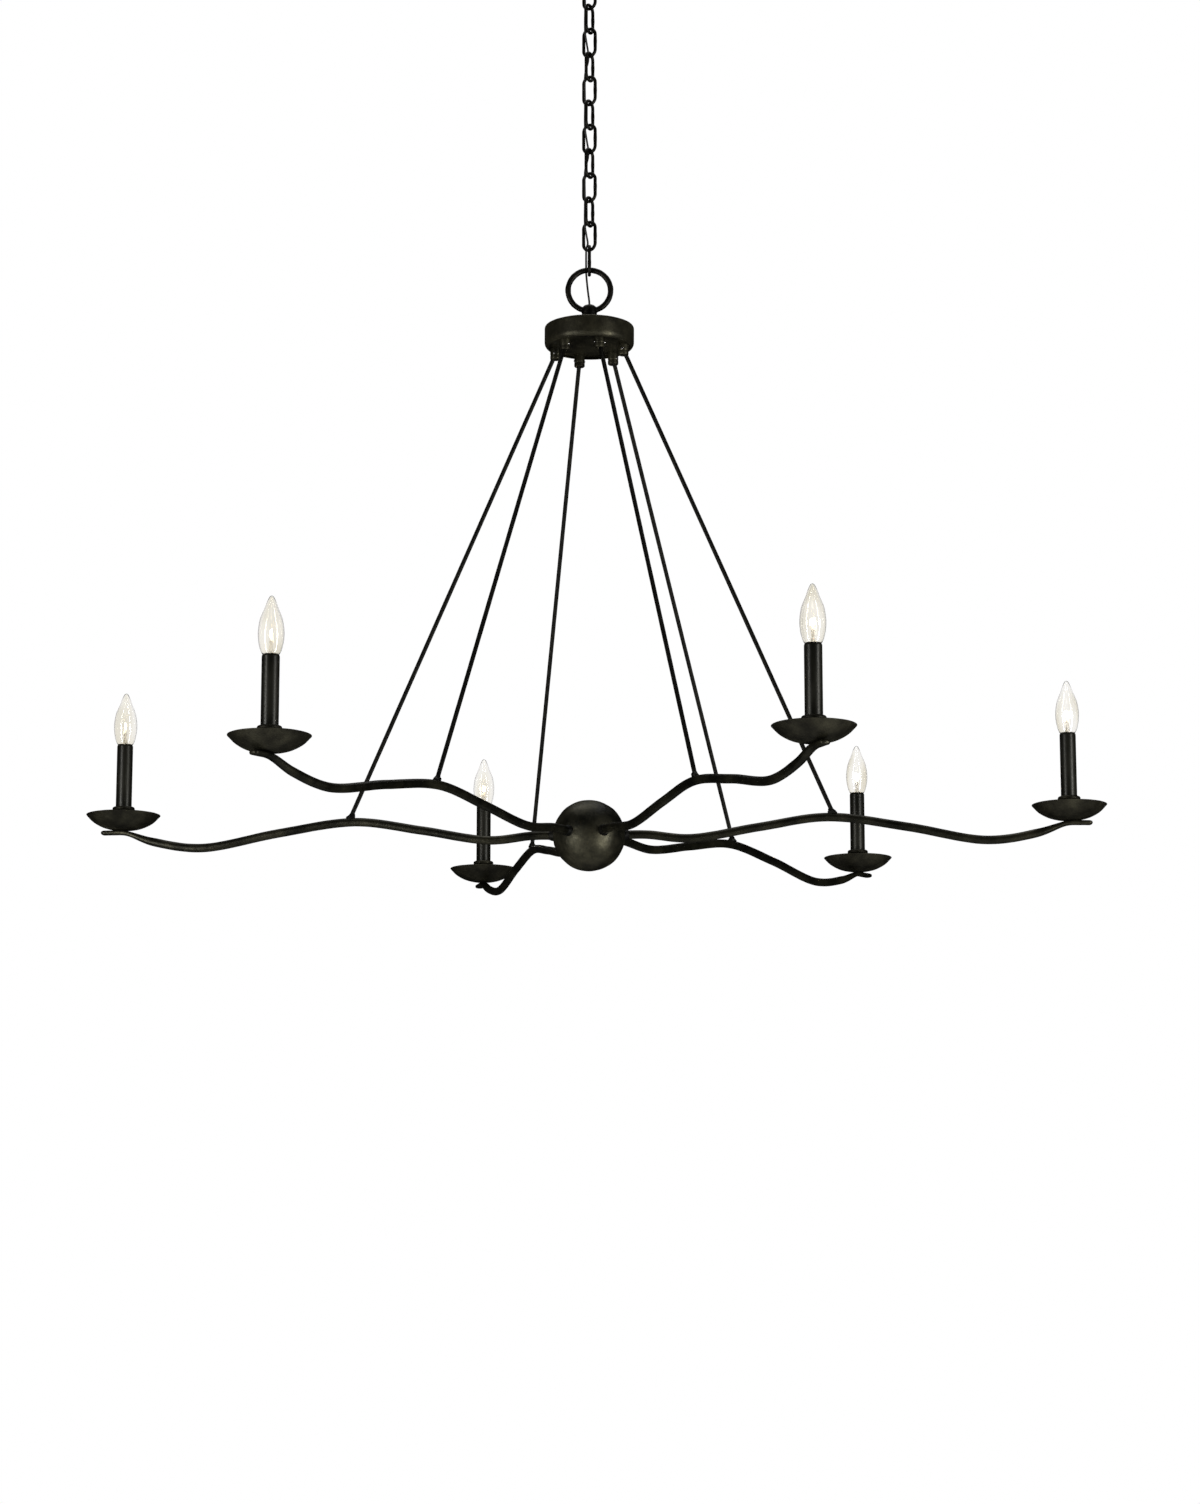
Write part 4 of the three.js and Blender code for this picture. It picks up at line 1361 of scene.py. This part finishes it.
def candle_sleeve(side):
    inside = SLEEVE_RADIUS - SLEEVE_WALL
    profile = [
        (inside, SLEEVE_FOOT),
        (SLEEVE_RADIUS, SLEEVE_FOOT),
        (SLEEVE_RADIUS, SLEEVE_TOP - 3 * MM),
        (SLEEVE_RADIUS - 0.35 * MM, SLEEVE_TOP - 1.2 * MM),
        (SLEEVE_RADIUS - 1.0 * MM, SLEEVE_TOP - 0.2 * MM),
        (SLEEVE_RADIUS - 1.6 * MM, SLEEVE_TOP),
        (SLEEVE_RADIUS - 1.75 * MM, SLEEVE_TOP - 0.6 * MM),
        (inside, SLEEVE_TOP - 2.6 * MM),
    ]
    tube = turned_shell(f"sleeve_{side}", profile, 0.5 * MM, 3, candle_spot(side))
    placed(tube, "chandelier", "sleeve_paint", sleeve_paint, f"candle_sleeve_{side}")


def lamp_socket(side):
    top = SLEEVE_TOP - 5 * MM
    radius = 9.5 * MM
    stalk = 4.4 * MM
    mouth = 6.6 * MM
    profile = [
        (0, 0.4 * MM),
        (stalk, 0.4 * MM),
        (stalk, top - 30 * MM),
        (radius, top - 28 * MM),
        (radius, top - 12 * MM),
        (radius - 0.6 * MM, top - 11.4 * MM),
        (radius - 0.6 * MM, top - 10.4 * MM),
        (radius, top - 9.8 * MM),
        (radius, top - 0.3 * MM),
        (mouth, top - 0.1 * MM),
        (mouth, top - 23.8 * MM),
        (0, top - 23.8 * MM),
    ]
    body = turned(f"lamp_socket_{side}", eased(profile, 0.4 * MM, 2), candle_spot(side), 40)
    placed(body, "chandelier", "socket_plastic", socket_plastic, f"socket_{side}")


for side in SIDES:
    candle_sleeve(side)
    lamp_socket(side)
print("sleeves", round(SLEEVE_TOP - SLEEVE_FOOT, 4), "m long")

# %% [markdown]
# ## The lamps
#
# Each lamp is a clear flame-shaped bulb on a small screw base. The glass is a real shell with an
# inner and an outer surface, because a solid lump of glass would act as a lens and turn the
# inside over. Inside stand a glass stem, two support wires and a zigzag tungsten filament, which
# is what glows.

# %% Glass envelope
GLASS_WALL = 1.1 * MM
LAMP_HEIGHT = 78 * MM
LAMP_PROFILE = [
    (-3.6, 9.3),
    (0, 10.1),
    (1.2, 11.6),
    (4.7, 13.3),
    (7.8, 14.3),
    (17.2, 16.3),
    (29.8, 17.0),
    (45.5, 14.9),
    (53.3, 12.3),
    (61, 9.0),
    (69, 6.2),
    (73.7, 4.2),
    (76.9, 2.3),
    (78.1, 0),
]


def lamp_seat(side):
    return candle_spot(side) + Vector((0, 0, SLEEVE_TOP))


def lamp_glass_shell(side):
    outside = smooth_profile([(radius * MM, height * MM) for height, radius in LAMP_PROFILE], 9)
    outside = [(max(radius, 0), height) for radius, height in outside]
    inside = []
    for radius, height in outside:
        share = max(height / LAMP_HEIGHT, 0)
        if radius > 2 * MM and height > -3 * MM:
            inside.append((radius - GLASS_WALL * (1 + share), height - GLASS_WALL * 0.9 * share))
    tip = inside[-1][1] + GLASS_WALL
    rim = (outside[0][0] - GLASS_WALL, outside[0][1])
    profile = [*outside, (0, tip), *reversed(inside), rim]
    shell = turned(f"flame_glass_{side}", profile, lamp_seat(side), 112, closed=True)
    placed(shell, f"lamp_{side}", "lamp_glass", lamp_glass, f"bulb_{side}")


for side in SIDES:
    lamp_glass_shell(side)

# %% Screw base
THREAD_RIDGES = 5
THREAD_STEPS = 48
THREAD_RADIUS = 5.45 * MM
THREAD_DEPTH = 0.4 * MM


def lamp_base(side):
    """A thread is drawn as ridges: its profile's radius goes up and down."""
    top = -4.0 * MM
    foot = -27 * MM
    thread = []
    for step in range(THREAD_STEPS + 1):
        share = step / THREAD_STEPS
        height = lerp(foot + 5 * MM, top - 3 * MM, share)
        ridge = math.cos(share * THREAD_RIDGES * 2 * math.pi)
        thread.append((THREAD_RADIUS + THREAD_DEPTH * ridge, height))
    profile = [
        (0, foot + 0.6 * MM),
        (2.6 * MM, foot + 0.8 * MM),
        (3.0 * MM, foot + 1.8 * MM),
        (5.0 * MM, foot + 4.4 * MM),
        *thread,
        (5.8 * MM, top - 1.2 * MM),
        (8.9 * MM, top - 0.2 * MM),
        (8.9 * MM, top + 0.2 * MM),
        (0, top + 0.3 * MM),
    ]
    base = turned(f"screw_base_{side}", profile, lamp_seat(side), 40)
    placed(base, f"lamp_{side}", "brass_nut", plain_brass)


for side in SIDES:
    lamp_base(side)

# %% Stem, support wires and filament
FILAMENT_FOOT = 24 * MM
FILAMENT_TOP = 33 * MM
FILAMENT_HALF = 5 * MM
FILAMENT_CORNERS = 9
FILAMENT_RADIUS = 0.42 * MM
SUPPORT_RADIUS = 0.22 * MM


def lamp_inside(side):
    middle = lamp_seat(side)
    stem_profile = [
        (0, -3.4 * MM),
        (6.2 * MM, -3.4 * MM),
        (4.6 * MM, 1.5 * MM),
        (2.9 * MM, 6 * MM),
        (2.2 * MM, 13 * MM),
        (2.6 * MM, 16.5 * MM),
        (1.2 * MM, 18.4 * MM),
        (0, 18.8 * MM),
    ]
    stem = turned(f"glass_stem_{side}", smooth_profile(stem_profile, 4), middle, 32)
    placed(stem, f"lamp_{side}", "lamp_glass", fired_stem)
    across = outwards(18 + 23 * SIDES.index(side), 1, 0)
    up = Vector((0, 0, 1))
    for letter, end in BOTH_ENDS:
        points = [
            middle + up * (16 * MM) + across * (end * 1.0 * MM),
            middle + up * (20 * MM) + across * (end * 2.8 * MM),
            middle + up * (23 * MM) + across * (end * 4.6 * MM),
            middle + up * (FILAMENT_FOOT + 1 * MM) + across * (end * FILAMENT_HALF),
        ]
        thin = round_outline(SUPPORT_RADIUS, 8)
        wire = swept(f"support_wire_{side}_{letter}", smooth_line(points, 6), thin)
        placed(wire, f"lamp_{side}", "bracket_steel", bright_pin)
    zigzag = []
    for i in range(FILAMENT_CORNERS):
        height = FILAMENT_TOP if i % 2 else FILAMENT_FOOT
        reach = FILAMENT_HALF * (2 * i / (FILAMENT_CORNERS - 1) - 1)
        zigzag.append(middle + up * height + across * reach)
    filament = swept(f"filament_{side}", smooth_line(zigzag, 6), round_outline(FILAMENT_RADIUS, 8))
    placed(filament, f"lamp_{side}", "lamp_glass", hot_tungsten)


for side in SIDES:
    lamp_inside(side)
print("six lamps with filaments", round(FILAMENT_TOP - FILAMENT_FOOT, 4), "m high")

# %% [markdown]
# ## Stage and light
#
# The lamp hangs in a white room. A pale floor lies well below it. Two tall soft boxes stand to
# the left and the right and a little in front, low down, so the ball and the sleeves get a soft
# highlight on both sides and stay dark between. A wide soft light overhead keeps the pans' edges
# readable, and a weak one low in front opens the undersides. The room looks white, but it sheds
# little light of its own, because a room as bright as it looks would turn the dark iron grey.

# %% Floor
FLOOR_DROP = 2.6
FLOOR_RADIUS = 2.6
FLOOR_THICKNESS = 0.03


def floor_finish():
    material, tree, shader = fresh_material("pale_floor")
    clouds = add_noise(tree, 1.3, detail=3)
    color = add_ramp(tree, clouds, [(0.3, (0.90, 0.90, 0.89)), (0.7, (0.93, 0.93, 0.92))])
    tree.links.new(color, shader.inputs["Base Color"])
    shader.inputs["Roughness"].default_value = 0.9
    return material


def floor():
    top = ball_middle.z - FLOOR_DROP
    profile = [
        (0, top),
        (FLOOR_RADIUS - 0.1, top),
        (FLOOR_RADIUS, top - 0.01),
        (FLOOR_RADIUS, top - FLOOR_THICKNESS),
        (0, top - FLOOR_THICKNESS),
    ]
    disc = turned("pale_floor", profile, steps=96)
    disc.data.materials.append(floor_finish())


floor()

# %% Soft lights


def soft_box(name, place, aim, width, height, power):
    data = bpy.data.lights.new(name, "AREA")
    data.shape = "RECTANGLE"
    data.size = width
    data.size_y = height
    data.energy = power
    light = bpy.data.objects.new(name, data)
    light.location = place
    light.rotation_euler = (Vector(aim) - Vector(place)).to_track_quat("-Z", "Y").to_euler()
    light.visible_camera = False
    bpy.context.scene.collection.objects.link(light)


aim = (0, 0, ball_middle.z + 0.1)
soft_box("left_soft_box", (-2.45, -2.1, ball_middle.z - 0.6), aim, 0.5, 3.0, 66)
soft_box("right_soft_box", (2.6, -1.9, ball_middle.z - 0.5), aim, 0.5, 3.0, 72)
soft_box("low_front_fill", (0.3, -4.2, ball_middle.z - 1.9), aim, 1.6, 0.8, 8)
soft_box("overhead_light", (0, 0.4, 1.2), aim, 2.4, 2.4, 24)

# %% White room


def white_room():
    world = bpy.data.worlds.new("white_room")
    world.use_nodes = True
    tree = world.node_tree
    tree.nodes.clear()
    rays = tree.nodes.new("ShaderNodeLightPath")

    def backdrop(color, strength):
        node = tree.nodes.new("ShaderNodeBackground")
        node.inputs["Color"].default_value = (*color, 1)
        node.inputs["Strength"].default_value = strength
        return node.outputs["Background"]

    def switch(kind, otherwise, then):
        mix = tree.nodes.new("ShaderNodeMixShader")
        tree.links.new(rays.outputs[kind], mix.inputs["Fac"])
        tree.links.new(otherwise, mix.inputs[1])
        tree.links.new(then, mix.inputs[2])
        return mix.outputs["Shader"]

    dim = backdrop((1.0, 0.99, 0.97), 0.012)
    through_glass = switch("Is Transmission Ray", dim, backdrop((1.0, 0.985, 0.95), 0.95))
    seen = switch("Is Camera Ray", through_glass, backdrop((1, 1, 1), 1.0))
    output = tree.nodes.new("ShaderNodeOutputWorld")
    tree.links.new(seen, output.inputs["Surface"])
    bpy.context.scene.world = world


white_room()
bpy.context.scene.view_settings.view_transform = "Standard"
print("lights:", [light.name for light in bpy.data.lights])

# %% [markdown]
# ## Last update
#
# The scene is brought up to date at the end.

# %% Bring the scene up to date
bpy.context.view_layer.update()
